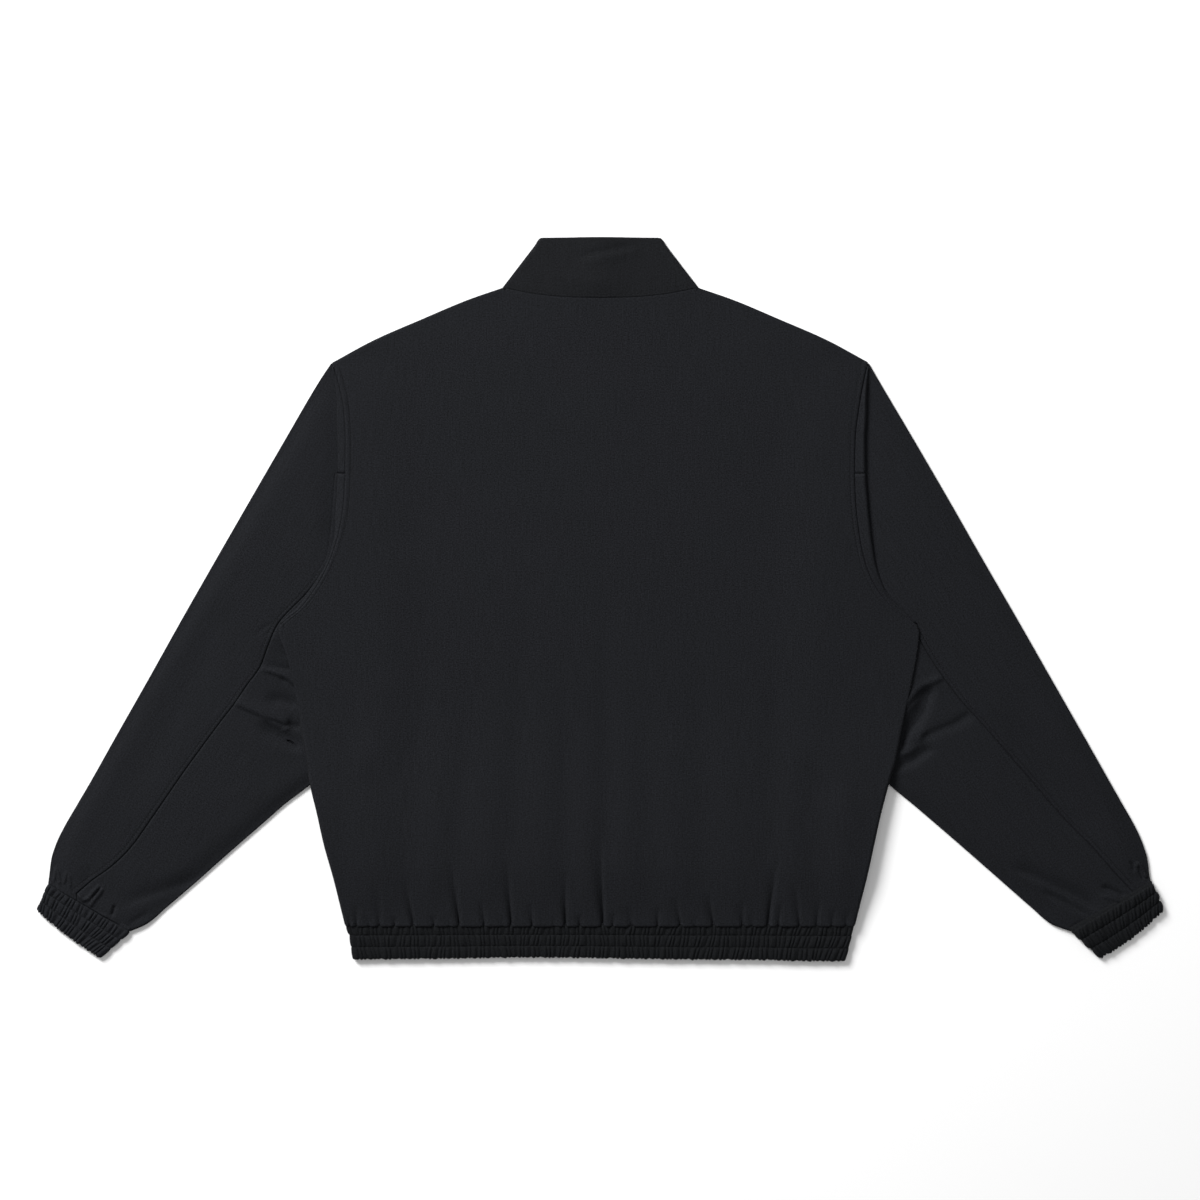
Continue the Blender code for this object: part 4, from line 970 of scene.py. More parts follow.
SLEEVE_CREASES: dict[Side, list[Crease]] = {
    Side.LEFT: [
        # upper tuck: a wedge that widens from the seam, with hollows above and below it
        Crease(((-341.7, -67.5), (-310.5, -70.5), (-300, -72)), -1.5, 5.0, 1.6, 0.15),
        Crease(((-341, -68.6), (-325.5, -73.6), (-315.5, -78), (-307.5, -84.3), (-300, -90)),
               2.2, 4.5, 1.3, 0.12),
        Crease(((-322, -76), (-312, -81.5), (-300, -92)), -1.4, 1.8, 3.5, 0.3),
        # soft fold between the tucks
        Crease(((-338, -99), (-319.5, -101.5), (-298, -107)), -2.2, 7.0, 5.0, 0.35),
        # lower tuck, and the hook at its end
        Crease(((-367, -103.2), (-350.5, -110.5), (-335.5, -116.5), (-320.5, -121), (-312, -125)),
               2.2, 9.0, 1.4, 0.1),
        Crease(((-342, -116), (-325.5, -125), (-319.5, -131.5)), 1.4, 2.4, 1.8, 0.3),
        Crease(((-320, -131.5), (-313, -129.3), (-309.5, -124.5)), 1.2, 1.8, 1.8, 0.3),
        Crease(((-314, -124), (-300, -129)), -2.2, 3.5, 3.0, 0.3),
        Crease(((-345, -122), (-325, -136), (-308, -145), (-292, -150)), -3.3, 8.0, 6.0, 0.35),
        # the sleeve sinks where it goes under the body
        Crease(((-318, -36), (-312, -60), (-305, -100), (-298, -140), (-290, -178)),
               -2.2, 8.0, 22.0, 0.15),
        # puckers at the upper end of the back seam
        Crease(((-346, -35), (-336, -29), (-327, -22)), -0.7, 2.6, 2.2, 0.3),
        Crease(((-341, -38), (-333, -34), (-326, -27)), -0.5, 1.6, 1.6, 0.3),
        # long drapes
        Crease(((-375, 10), (-400, -60), (-440, -140), (-486, -215)), -1.0, 15.0, 20.0, 0.3),
        Crease(((-480, -140), (-515, -205), (-535, -250)), 0.7, 16.0, 16.0, 0.3),
        Crease(((-484.5, -308.5), (-458.5, -297.5), (-430.5, -288.5), (-392, -276)), -1.8, 9.0, 5.0, 0.3),
        # gathers over the cuff
        Crease(((-547.5, -284), (-545.5, -275), (-544, -266)), 1.3, 1.5, 1.5, 0.3),
        Crease(((-540, -288), (-541.5, -280), (-543.5, -268)), 1.3, 1.5, 1.5, 0.3),
        Crease(((-537.5, -286), (-535.5, -280), (-533.5, -271)), 1.3, 1.5, 1.5, 0.3),
        Crease(((-530, -290), (-530.5, -283), (-532, -273)), 1.2, 1.5, 1.5, 0.3),
        Crease(((-523, -294), (-517.5, -300.5), (-512.5, -299), (-506.5, -292.5), (-500.5, -285)),
               1.8, 1.7, 1.7, 0.12),
        Crease(((-497.5, -287.5), (-500.5, -293.5), (-506.5, -300.5), (-511, -308)), 1.8, 1.7, 1.7, 0.15),
        Crease(((-510, -300), (-499, -287)), -1.2, 1.6, 1.6, 0.3),
        Crease(((-485.5, -304.5), (-487, -311), (-489, -318)), -2.2, 1.9, 1.9, 0.3),
        Crease(((-512, -309), (-502.5, -315), (-492, -318)), 1.0, 1.7, 1.7, 0.3),
        Crease(((-474, -327), (-464, -320), (-450, -312)), -0.8, 3.0, 3.0, 0.3),
        Crease(((-519, -290), (-512, -276), (-508, -262)), -0.7, 4.0, 4.0, 0.4),
    ],
    Side.RIGHT: [
        # upper tuck: a thin ridge over a deep hollow that turns under the body
        Crease(((303, -110), (308.25, -101.75), (317, -91.75), (324.5, -86.1), (332, -83), (343.5, -78)),
               2.1, 4.5, 1.3, 0.12),
        Crease(((299, -153), (302, -140.5), (307, -131.5), (317, -121.5), (323.25, -110.5),
                (327.5, -96.5), (331.4, -85.5)), -4.4, 10.0, 5.0, 0.15),
        Crease(((300, -118), (309, -109), (318, -99)), 1.1, 2.0, 2.0, 0.3),
        # lower tuck, and the folds under it
        Crease(((318, -140), (325.75, -136.7), (338.25, -130.9), (354.5, -124.4), (372.5, -112.5)),
               -1.9, 4.0, 5.5, 0.12),
        Crease(((317, -143), (320, -136), (326, -128.5)), 1.3, 2.0, 2.5, 0.3),
        Crease(((290, -168), (304, -164.5), (313.25, -161.5), (322, -154.6), (334.5, -147)),
               -3.0, 7.0, 4.5, 0.2),
        Crease(((297, -157), (309, -152), (318, -144)), 1.0, 2.5, 2.5, 0.3),
        # long drapes
        Crease(((392, -105), (450, -182), (516, -252)), -2.6, 19.0, 14.0, 0.3),
        Crease(((430, -95), (485, -170), (532, -232)), 1.6, 13.0, 11.0, 0.3),
        Crease(((322, -45), (334, -62), (345, -76)), -0.5, 3.0, 8.0, 0.3),
        # folds that run into the cuff
        Crease(((408, -267), (440.9, -280.5), (455.2, -287.5), (476.5, -297.5), (503, -314)),
               -3.0, 8.5, 2.6, 0.2),
        Crease(((438, -291), (462.4, -302.5), (479.5, -312), (494, -319)), -2.0, 5.0, 2.2, 0.25),
        Crease(((500, -287), (516.5, -293.4), (526, -299)), -2.2, 3.4, 1.4, 0.25),
        Crease(((498, -296), (512, -299), (521, -303)), 0.9, 2.2, 2.2, 0.3),
        Crease(((535.5, -268), (537.5, -264.5), (540.5, -266), (543.8, -271.9), (546.5, -279)),
               2.2, 1.5, 1.5, 0.12),
        Crease(((529, -261), (532.5, -266), (534, -273)), -1.3, 2.5, 2.0, 0.3),
        Crease(((537.5, -269), (540, -274), (544, -281)), -1.0, 1.4, 1.4, 0.3),
        Crease(((486, -321), (478, -326), (470, -331)), -0.6, 3.0, 3.0, 0.3),
    ],
}


@dataclass
class Sleeve:
    """A two-piece sleeve, laid flat and tucked under the body along the armhole.

    Attributes:
        side: Which arm it is for.
        wall: Thickness.
        seam_gap: Gap between the two pieces along the back seam.
        front_seam: From the inner fold to the front seam on the lower ply.
        fold_inset: From each fold to where its round begins.
        row_inset: From the back seam to its row of stitches.
        slack: How far the upper ply slopes down to its inner end.
        elbow_slack: How much farther it slopes above the right elbow.
        strip_lift: How much higher the strip beside the right armhole stands.
        dip: How deep the cloth sinks to the back seam.
        dip_width: From how far away it does.
    """

    side: Side
    wall: float = 1.0
    seam_gap: float = 0.7
    front_seam: float = 7.0
    fold_inset: float = 0.8
    row_inset: float = 5.6
    slack: float = 17.0
    elbow_slack: float = 10.0
    strip_lift: float = 1.7
    dip: float = 1.2
    dip_width: float = 1.7

    @property
    def grain(self) -> float:
        """Direction of the sleeve's length from the y axis."""
        return self.side.value * math.radians(30.0)

    def top_z(self, t: Array, share: Array, w: Array, y: Array) -> Array:
        """Height of the upper ply: flat under the body, fuller below the elbow, then its creases."""
        width = Lay.sections(t[:, 0] if t.ndim > 1 else t, self.side)[2]
        width = width[:, None] if t.ndim > 1 else width
        puff = np.interp(t, Lay.PUFF["t"], Lay.PUFF[self.side.label])
        slack = self.slack
        if self.side is Side.RIGHT:
            slack = slack + self.elbow_slack * (1.0 - ramp(t, 8.0, 10.0))
        full = (1.0 - bell(share * width, 13.0)) * (1.0 - bell((1.0 - share) * width, slack))
        z = Lay.SLEEVE_TOP_Z + puff * full
        z = z + (Lay.CUFF_TOP_Z - Lay.SLEEVE_TOP_Z + 0.5) * ramp(t, 20.0, 22.0)
        inside = np.sqrt(np.clip(np.minimum(share, 1.0 - share) * width / 4.0, 0.0, 1.0))
        folds = creased(self.side.value * w, y, SLEEVE_CREASES[self.side]) * np.maximum(inside, 0.15)
        return z + folds * ramp(t, 8.0, 9.5)

    def ply(self, t: Array, shares: Array, top: bool) -> Array:
        """One ply of the sleeve at the given shares of each cross line."""
        outer, inner, _ = Lay.sections(t, self.side)
        place = outer[:, None, :] + (inner - outer)[:, None, :] * shares[..., None]
        w, y = place[..., 0], place[..., 1]
        rows = np.broadcast_to(t[:, None], w.shape)
        z = self.top_z(rows, shares, w, y) if top else np.full_like(w, Lay.SLEEVE_LOW_Z)
        return np.stack([w, y, z], axis=-1)

    def fold(self, t: Array, end: float, facing: float, count: int) -> Array:
        """Points round a fold from the upper ply to the lower one: half a circle in section."""
        outer, inner, width = Lay.sections(t, self.side)
        edge = outer if end == 0.0 else inner
        upper = self.top_z(t, np.full(len(t), end), edge[:, 0], edge[:, 1])
        radius = 0.5 * (upper - Lay.SLEEVE_LOW_Z)
        middle = 0.5 * (upper + Lay.SLEEVE_LOW_Z)
        angle = np.radians(np.linspace(70.0, -70.0, count))
        inset = radius[:, None] * (1.0 - np.cos(angle)) / width[:, None]
        share = (end + facing * inset)[..., None]
        place = outer[:, None] + (inner - outer)[:, None] * share
        z = middle[:, None] + radius[:, None] * np.sin(angle)
        return np.concatenate([place, z[..., None]], axis=-1)

    def armhole_strip(self, t: Array) -> Array:
        """Armhole seam out to the strip's fold, back under it, to the fold where the sleeve comes out."""
        inner = Lay.sections(t, self.side)[1]
        y = inner[:, 1]
        seam = Lay.half_width(y, self.side)
        slant = Lay.slant(y, self.side)
        normal = np.column_stack([np.ones_like(slant), -slant]) / np.hypot(1.0, slant)[:, None]
        start = np.column_stack([seam, y])
        reach = reading(Lay.STRIP_WIDTH, y, self.side.label)
        seam_z = Lay.edge_z(y) - 0.4 * ramp(-y, 18.0, 29.0) - 0.5
        strip_z = np.minimum(Lay.STRIP_Z, Lay.edge_z(y) + 0.1)
        if self.side is Side.LEFT:
            strip_z = np.minimum(strip_z, Lay.TUCK_Z + 0.5)
        else:
            strip_z = strip_z + self.strip_lift * ramp(y, 0.0, 50.0) * (1.0 - ramp(y, 205.0, 232.0))
        radius = 0.5 * (strip_z - Lay.TUCK_Z)
        flat = np.zeros_like(y)
        path = []
        for out, z in ((-1.8 + flat, seam_z - 1.9), (0.1 + flat, seam_z - 1.1),
                       (1.1 + flat, seam_z - 0.1), (0.45 * reach + 0.9, 0.5 * (seam_z + strip_z)),
                       (reach - radius - 0.2, strip_z), (reach - 0.1, strip_z - radius),
                       (reach - radius - 0.2, Lay.TUCK_Z + flat)):
            path.append(np.column_stack([start + normal * out[:, None], z]))
        path.append(np.column_stack([inner[:, 0] + Lay.TUCK_RADIUS, y, Lay.TUCK_Z + flat]))
        path.append(np.column_stack([inner[:, 0], y, Lay.TUCK_Z - Lay.TUCK_RADIUS + flat]))
        return refine(np.stack(path, axis=1), 3)

    def seam_dip(self, points: Array, from_seam: Array) -> Array:
        """Sink the cloth to the seam within a millimetre or two of it."""
        points[..., 2] -= self.dip * np.clip(1.0 - from_seam / self.dip_width, 0.0, 1.0) ** 2
        return points

    def allowance(self, points: Array, from_seam: Array) -> Array:
        """Raise the strip between the seam and its row of stitches, and sink the row itself."""
        from_row = from_seam - self.row_inset
        raised = 0.15 * ramp(from_seam, 0.0, 1.0) * (1.0 - ramp(from_row, -1.0, 0.2))
        points[..., 2] += raised - 0.32 * bell(from_row, 0.8)
        return points

    def on_table(self, points: Array) -> Array:
        """Keep the cloth's underside at or above the table."""
        points[..., 2] = np.maximum(points[..., 2], 0.5 * self.wall + 0.05)
        return points

    def outer_cloth(self) -> Cloth:
        """Outer sleeve: armhole strip, upper ply to the outer fold, lower ply to the front seam."""
        t = np.concatenate([np.linspace(0.0, 1.3, 14), np.linspace(1.4, Lay.SEAM_ROW - 0.003, 28),
                            np.linspace(Lay.SEAM_ROW + 0.012, Lay.STRIP_END, 62),
                            np.linspace(Lay.STRIP_END + 0.1, 19.5, 84), np.linspace(19.6, 22.0, 34)])
        width = Lay.sections(t, self.side)[2]
        strip = self.armhole_strip(t)
        with_strip = t < Lay.SEAM_ROW
        to_seam = Lay.seam_share(t, self.side) - 0.5 * self.seam_gap / width
        end = np.where(with_strip, 1.0 - Lay.TUCK_RADIUS / width, to_seam)
        inset = self.fold_inset / width
        steps = np.concatenate([np.linspace(0.0, 0.09, 12)[:-1], np.linspace(0.09, 1.0, 58)])
        shares = end[:, None] + (inset - end)[:, None] * steps
        far = 99.0  # beside the strip the upper ply has no seam to sink to
        from_seam = np.where(with_strip[:, None], far, (end[:, None] - shares) * width[:, None])
        top = self.allowance(self.seam_dip(self.ply(t, shares, True), from_seam), from_seam)
        fold = self.fold(t, 0.0, 1.0, 7)
        front = np.where(t > Lay.STRIP_END, 1.0 - self.front_seam / width, 1.0)
        low = self.ply(t, inset[:, None] + (front - inset)[:, None] * np.linspace(0.0, 1.0, 22), False)
        points = np.concatenate([strip, top, fold, low], axis=1)
        # one more row, tucked in under the shoulder
        head = points[:1] + np.array([-3.0, 1.6, -0.3])
        points = self.on_table(np.concatenate([head, points]))
        with_strip = np.append(True, with_strip)
        keep = np.ones((len(t), points.shape[1] - 1), dtype=bool)
        keep[:, :strip.shape[1]] = (with_strip[:-1] & with_strip[1:])[:, None]
        return Cloth(f"sleeve_outer_{self.side.label}_cloth", across(points, self.side), self.wall,
                     (0.33, 0.62), 0.130, keep=keep, grain=self.grain)

    def under_cloth(self) -> Cloth:
        """Under sleeve: back seam to the inner fold, then the armhole strip or the turn under."""
        t = np.concatenate([np.linspace(Lay.SEAM_ROW + 0.005, Lay.STRIP_END, 60),
                            np.linspace(Lay.STRIP_END + 0.06, 15.5, 84), np.linspace(15.6, 19.5, 32),
                            np.linspace(19.6, 22.0, 34)])
        width = Lay.sections(t, self.side)[2]
        with_strip = t <= Lay.STRIP_END
        start = Lay.seam_share(t, self.side) + 0.5 * self.seam_gap / width
        start = np.minimum(start, 1.0 - 2.6 / width)
        inset = self.fold_inset / width
        end = np.where(with_strip, 1.0 - Lay.TUCK_RADIUS / width, 1.0 - inset)
        steps = np.concatenate([[0.0, 0.005, 0.012, 0.021], np.linspace(0.034, 1.0, 66)])
        shares = start[:, None] + (end - start)[:, None] * steps
        top = self.seam_dip(self.ply(t, shares, True), (shares - start[:, None]) * width[:, None])
        strip = self.armhole_strip(t)[:, ::-1]
        turn = self.fold(t, 1.0, -1.0, 7)
        low_count = strip.shape[1] - turn.shape[1]
        ends = (1.0 - inset)[:, None], (1.0 - (self.front_seam - self.seam_gap) / width)[:, None]
        low = self.ply(t, ends[0] + (ends[1] - ends[0]) * np.linspace(0.0, 1.0, low_count), False)
        hidden = np.where(with_strip[:, None, None], strip, np.concatenate([turn, low], axis=1))
        points = self.on_table(np.concatenate([top, hidden], axis=1))
        keep = np.ones((len(t) - 1, points.shape[1] - 1), dtype=bool)
        keep[np.flatnonzero(with_strip)[-1], top.shape[1] - 1:] = False
        return Cloth(f"sleeve_under_{self.side.label}_cloth", across(points, self.side), self.wall,
                     (0.16, 0.52), 0.050, keep=keep, grain=self.grain)

    def build(self) -> None:
        """Make both pieces of the sleeve."""
        self.outer_cloth().build()
        self.under_cloth().build()


# ---------------------------------------------------------------------------------------------
# Collar, waistband and cuffs


@dataclass
class Collar:
    """Stand collar as a flattened ring, open at the zip.

    Attributes:
        wall: Thickness.
        low_z: Height of the lower ply.
        side_z: Height of the upper ply at the sides.
        seam_gap: From the neck seam to the collar.
        row_rise: From there to its row of stitches.
        creases: Soft folds of the upper ply.
    """

    wall: float = 1.8
    low_z: float = 0.9
    side_z: float = 3.2
    seam_gap: float = 0.3
    row_rise: float = 2.6
    creases: list[Crease] = field(default_factory=lambda: [
        Crease(((-30, 339), (-10, 346), (42, 355)), -0.7, 4.0, fade=0.35),
        Crease(((-24, 333), (0, 341), (46, 350)), 0.5, 5.0, fade=0.35),
        Crease(((-70, 330), (-40, 322), (10, 316)), 0.3, 7.0, fade=0.4),
    ])

    def half(self, v: Array) -> Array:
        """Half width from the neck seam (v = 0) to the rounded top corners (v = 1)."""
        return np.interp(v, [0.0, 0.86, 0.94, 0.985, 1.0], [98.0, 65.6, 63.4, 61.6, 60.0])

    def place(self) -> Array:
        """Columns round the ring: lower left, side, back, side, lower right.

        A column runs from the neck seam to the top edge. The back bows up over the slider, and its
        edge rolls in at the top.
        """
        v = np.concatenate([[-0.05, -0.02, 0.0, 0.008, 0.02, 0.035], np.linspace(0.055, 0.93, 34),
                            [0.95, 0.965, 0.978, 0.988, 0.995, 1.0]])[:, None]
        half = self.half(v)
        share = np.linspace(0.0, 0.953919, 30)
        lower = self.front_ply(Lay.FRONT_EDGE + (half - Lay.FRONT_EDGE) * share, v)
        radius = 0.5 * (self.side_z - self.low_z)
        angle = np.radians(np.linspace(-90.0, 90.0, 11))
        turn_w = half - radius * (1.0 - np.cos(angle)) - 0.5 * self.wall
        seam = Lay.NECK_CORNER_Y + self.seam_gap
        turn_y = np.broadcast_to(seam + (Lay.COLLAR_TOP_Y - seam) * v, turn_w.shape)
        turn_z = np.broadcast_to(self.low_z + radius * (1.0 + np.sin(angle)), turn_w.shape)
        turn = np.stack([turn_w, turn_y, turn_z], axis=-1)
        back = self.back_ply(half * np.linspace(-0.955, 0.955, 120), v)
        flip = np.array([-1.0, 1.0, 1.0])
        return np.concatenate([lower * flip, turn * flip, back, turn[:, ::-1], lower[:, ::-1]], axis=1)

    def front_ply(self, w: Array, v: Array) -> Array:
        """Lower ply, whose top edge stands a little above the back's by the zip."""
        seam = Lay.front_top_edge(w[0]) + self.seam_gap
        top = Lay.COLLAR_TOP_Y + 1.6 * (1.0 - ramp(w, 20.0, 40.0))
        y = seam + (top - seam) * v
        return np.stack([w, y, np.full_like(w, self.low_z)], axis=-1)

    def back_ply(self, x: Array, v: Array) -> Array:
        """Upper ply, raised at the centre over the zip's slider.

        It dips to the neck seam and to the row of stitches above it, and goes in under the back.
        """
        seam = Lay.top_edge(x[0]) + self.seam_gap
        top = Lay.COLLAR_TOP_Y + 0.5 * bell(x, 40.0)
        y = seam + (top - seam) * v
        z = Lay.neck_z(x) + 2.3 * bell(x, 26.0) * ramp(y, 296.0, 320.0) + creased(x, y, self.creases)
        z = z - 0.5 * fall(y - seam, 1.4) - 0.2 * bell(y - seam - self.row_rise, 0.8)
        z = z - 1.2 * ramp(seam - y, 0.1, 1.0)
        return np.stack([x, y, z - 0.5 * fall(top - y, 1.2)], axis=-1)

    def build(self) -> Piece:
        """Make the collar."""
        return Cloth("collar_cloth", self.place(), self.wall, (0.40, 0.07), 0.022, slot="gathered_trim",
                     finish=TRIM_LIGHT).build()


def gathered(place: Array, count: float, seed: float) -> Array:
    """Ridges of an elastic gather along a line, from 0 in a sharp valley to 1 on a round crest.

    The height is the 0.7th power of the absolute sine of an uneven phase, less a finer set of
    ridges. Slow waves in the phase make neighbouring gathers wide and narrow, and another wave makes
    them tall and low.

    Args:
        place: Share of the line's length.
        count: Gathers along the line.
        seed: Shifts the unevenness.

    Returns:
        Heights from 0 to 1.
    """
    along = place * count
    phase = along + 0.20 * np.sin(2.33 * along + seed) + 0.16 * np.sin(0.83 * along + 2.0 * seed)
    ridge = np.abs(np.sin(np.pi * phase)) ** 0.7
    tall = 0.80 + 0.20 * np.sin(1.73 * along + 3.0 * seed) * np.sin(0.41 * along + seed)
    fine = 0.12 * np.abs(np.sin(np.pi * (2.37 * phase + seed)))
    return np.clip(ridge * tall - fine * ridge, 0.0, 1.0)


@dataclass(frozen=True)
class Channels:
    """Three elastic channels down a band.

    Attributes:
        rows: Shares of the band's depth at its seam, its two stitch rows and its free edge.
        hidden: Shares of the grid's rows that lie inside the cloth the band is sewn to.
        steps: Shares of a channel at its grid rows.
    """

    rows: tuple[float, ...] = (0.0, 0.30, 0.64, 1.0)
    hidden: Pair = (-0.12, -0.04)
    steps: tuple[float, ...] = (0.0, 0.05, 0.12, 0.22, 0.36, 0.5, 0.64, 0.78, 0.88, 0.95)

    @property
    def stitch_rows(self) -> list[int]:
        """Numbers of the grid rows that lie on the two stitch rows."""
        return [len(self.hidden) + k * len(self.steps) for k in (1, 2)]

    def rows_from_seam(self) -> Array:
        """Depth shares of a band's grid rows, as a column."""
        rows = [start + (end - start) * np.array(self.steps)
                for start, end in zip(self.rows, self.rows[1:])]
        return np.concatenate([self.hidden, *rows, [1.0]])[:, None]

    def swell(self, v: Array) -> Array:
        """How full the band is at v: an arch in each channel, pinched at the stitch rows."""
        total = np.zeros_like(v)
        for start, end in zip(self.rows, self.rows[1:]):
            inside = (v >= start) & (v <= end)
            arch = np.sin(np.pi * np.clip((v - start) / (end - start), 0.0, 1.0)) ** 0.42
            total = np.where(inside, arch, total)
        return total

    def ridges(self, place: Array, v: Array, count: float, seed: float, lean: float = 0.0) -> Array:
        """Gathers that slant a little in each channel, and all lean by a share of a gather."""
        total = np.zeros(np.broadcast(place, v).shape)
        along = place * count
        for k, (start, end) in enumerate(zip(self.rows, self.rows[1:])):
            inside = (v >= start) & (v <= end)
            run = np.clip((v - start) / (end - start), 0.0, 1.0)
            slant = 0.42 * np.sin(5.0 * k + 0.23 * along) + 0.25 * np.sin(1.1 * k + 0.71 * along)
            shifted = place + (slant + lean) * (run - 0.5) / count
            total = np.where(inside, gathered(shifted, count, seed + 0.5 * k), total)
        return total


CHANNELS = Channels()


@dataclass
class Ring:
    """What the waistband and the cuffs share: a gathered ring of cloth, flattened on the table.

    Attributes:
        wall: Thickness.
        gather: Height of the gathers.
        count: Gathers across the upper ply.
        seed: Their unevenness.
        scallop: How far the gathers wave the free edge.
        top_z: Height of the upper ply.
        tilt: How much lower the upper ply lies at its seam.
        depth: From the seam to the free edge.
        edge_drop: How far the free edge rolls down.
        edge_radius: Over what distance it does.
        tuck: How far the hidden rows close on each other.
        seam_gap: Gap between the seam and the cloth above it.
    """

    wall: float
    gather: float
    count: float
    seed: float
    scallop: float
    top_z: float
    tilt: float
    depth: float
    edge_drop: float
    edge_radius: float
    tuck: float
    seam_gap: float = 0.3

    @property
    def low_z(self) -> float:
        """Height of the lower ply, whose wall just clears the table."""
        return 0.5 * self.wall + 0.05

    def turn(self, end: float, count: int) -> tuple[Array, Array, Array, Array]:
        """The ring's side, a part circle from the lower ply to the upper one.

        Args:
            end: Angle at its ends from the level, degrees.
            count: Points along it.

        Returns:
            How far in from the side each point lies, its height, and its way out across and up.
        """
        radius = 0.5 * (self.top_z - self.low_z)
        angle = np.radians(np.linspace(-end, end, count))
        inset = radius * (1.0 - np.cos(angle)) + 0.5 * self.wall
        return inset, self.low_z + radius * (1.0 + np.sin(angle)), np.cos(angle), np.sin(angle)

    def bulge(self, place: Array, v: Array, out_z: Array, lean: float = 0.0) -> Array:
        """How far the gathers stand out; on the lower ply they hollow it and leave it on the table."""
        ridges = CHANNELS.ridges(place, v, self.count, self.seed, lean) * CHANNELS.swell(v)
        return 0.5 * self.wall + self.gather * (ridges - np.clip(-out_z, 0.0, 1.0))

    def wave(self, place: Array, v: Array) -> Array:
        """How far the gathers push the free edge down."""
        return self.scallop * (gathered(place, self.count, self.seed + 1.0) - 0.5) * ramp(v, 0.75, 1.0)

    def sink(self, v: Array, out_z: Array) -> Array:
        """How far the upper ply drops at its free edge and its seam, and closes in the hidden rows."""
        sink = self.edge_drop * fall((1.0 - v) * self.depth, self.edge_radius) * np.clip(out_z, 0, 1)
        sink = sink - self.tilt * (1.0 - v) * ramp(out_z, 0.0, 1.0)
        return sink + self.tuck * ramp(-v, 0.0, 0.04) * out_z


@dataclass
class Waistband(Ring):
    """Gathered waistband as a flattened ring, open at the zip.

    The grid looks to the table's middle, so its wall goes to the side that it faces.
    """

    wall: float = 1.6
    gather: float = 2.0
    count: float = 100.0
    seed: float = 0.7
    scallop: float = 2.1
    top_z: float = Lay.BAND_TOP_Z
    tilt: float = 0.7
    depth: float = 36.0
    edge_drop: float = 0.9
    edge_radius: float = 2.4
    tuck: float = 1.3
    seam_half: float = 254.0
    mean_half: float = 250.0

    def half(self, v: Array, side: Side) -> Array:
        """Half width from the waist seam (v = 0) to the lower edge (v = 1)."""
        ends = {Side.LEFT: (253.9, 250.4, 247.5), Side.RIGHT: (253.1, 250.8, 244.8)}[side]
        return np.interp(v, [0.0, 0.35, 1.0], ends)

    def place(self) -> Array:
        """Outer face of the ring: rows down the band, columns round it.

        Each column has a share of the half width, a height and a way out.
        """
        v = CHANNELS.rows_from_seam()
        inset, turn_z, turn_x, turn_up = self.turn(80.0, 9)
        inset = inset / self.mean_half
        lower = np.linspace(Lay.FRONT_EDGE / self.seam_half, 0.985, 210)
        upper = np.linspace(-0.99, 0.99, 1020)
        share = np.concatenate([-lower, -(1.0 - inset), upper, (1.0 - inset)[::-1], lower[::-1]])
        under, over = np.ones_like(lower), np.ones_like(upper)
        low, top = self.low_z * under, self.top_z * over
        z = np.concatenate([low, turn_z, top, turn_z[::-1], low])
        out_x = np.concatenate([0 * under, -turn_x, 0 * over, turn_x[::-1], 0 * under])
        out_z = np.concatenate([-under, turn_up, over, turn_up[::-1], -under])
        x = share * np.where(share < 0.0, self.half(v, Side.LEFT), self.half(v, Side.RIGHT))
        place = 0.5 * (share + 1.0)
        out = self.bulge(place, v, out_z)
        y_top = Lay.WAIST_Y - self.seam_gap
        y = y_top + (reading(Lay.BAND_EDGE, x, "y") - y_top) * v - self.wave(place, v)
        return np.stack([x + out * out_x, y, z + out * out_z - self.sink(v, out_z)], axis=-1)

    def build(self) -> Piece:
        """Make the waistband."""
        # Its darker trim colour is painted shade for the self-shadow of its gathers.
        return Cloth("waistband_cloth", self.place(), self.wall, (1.20, 0.038), 0.0455, held="gathered",
                     slot="gathered_trim", finish=TRIM_PAINTED_SHADE, offset=1.0).build()


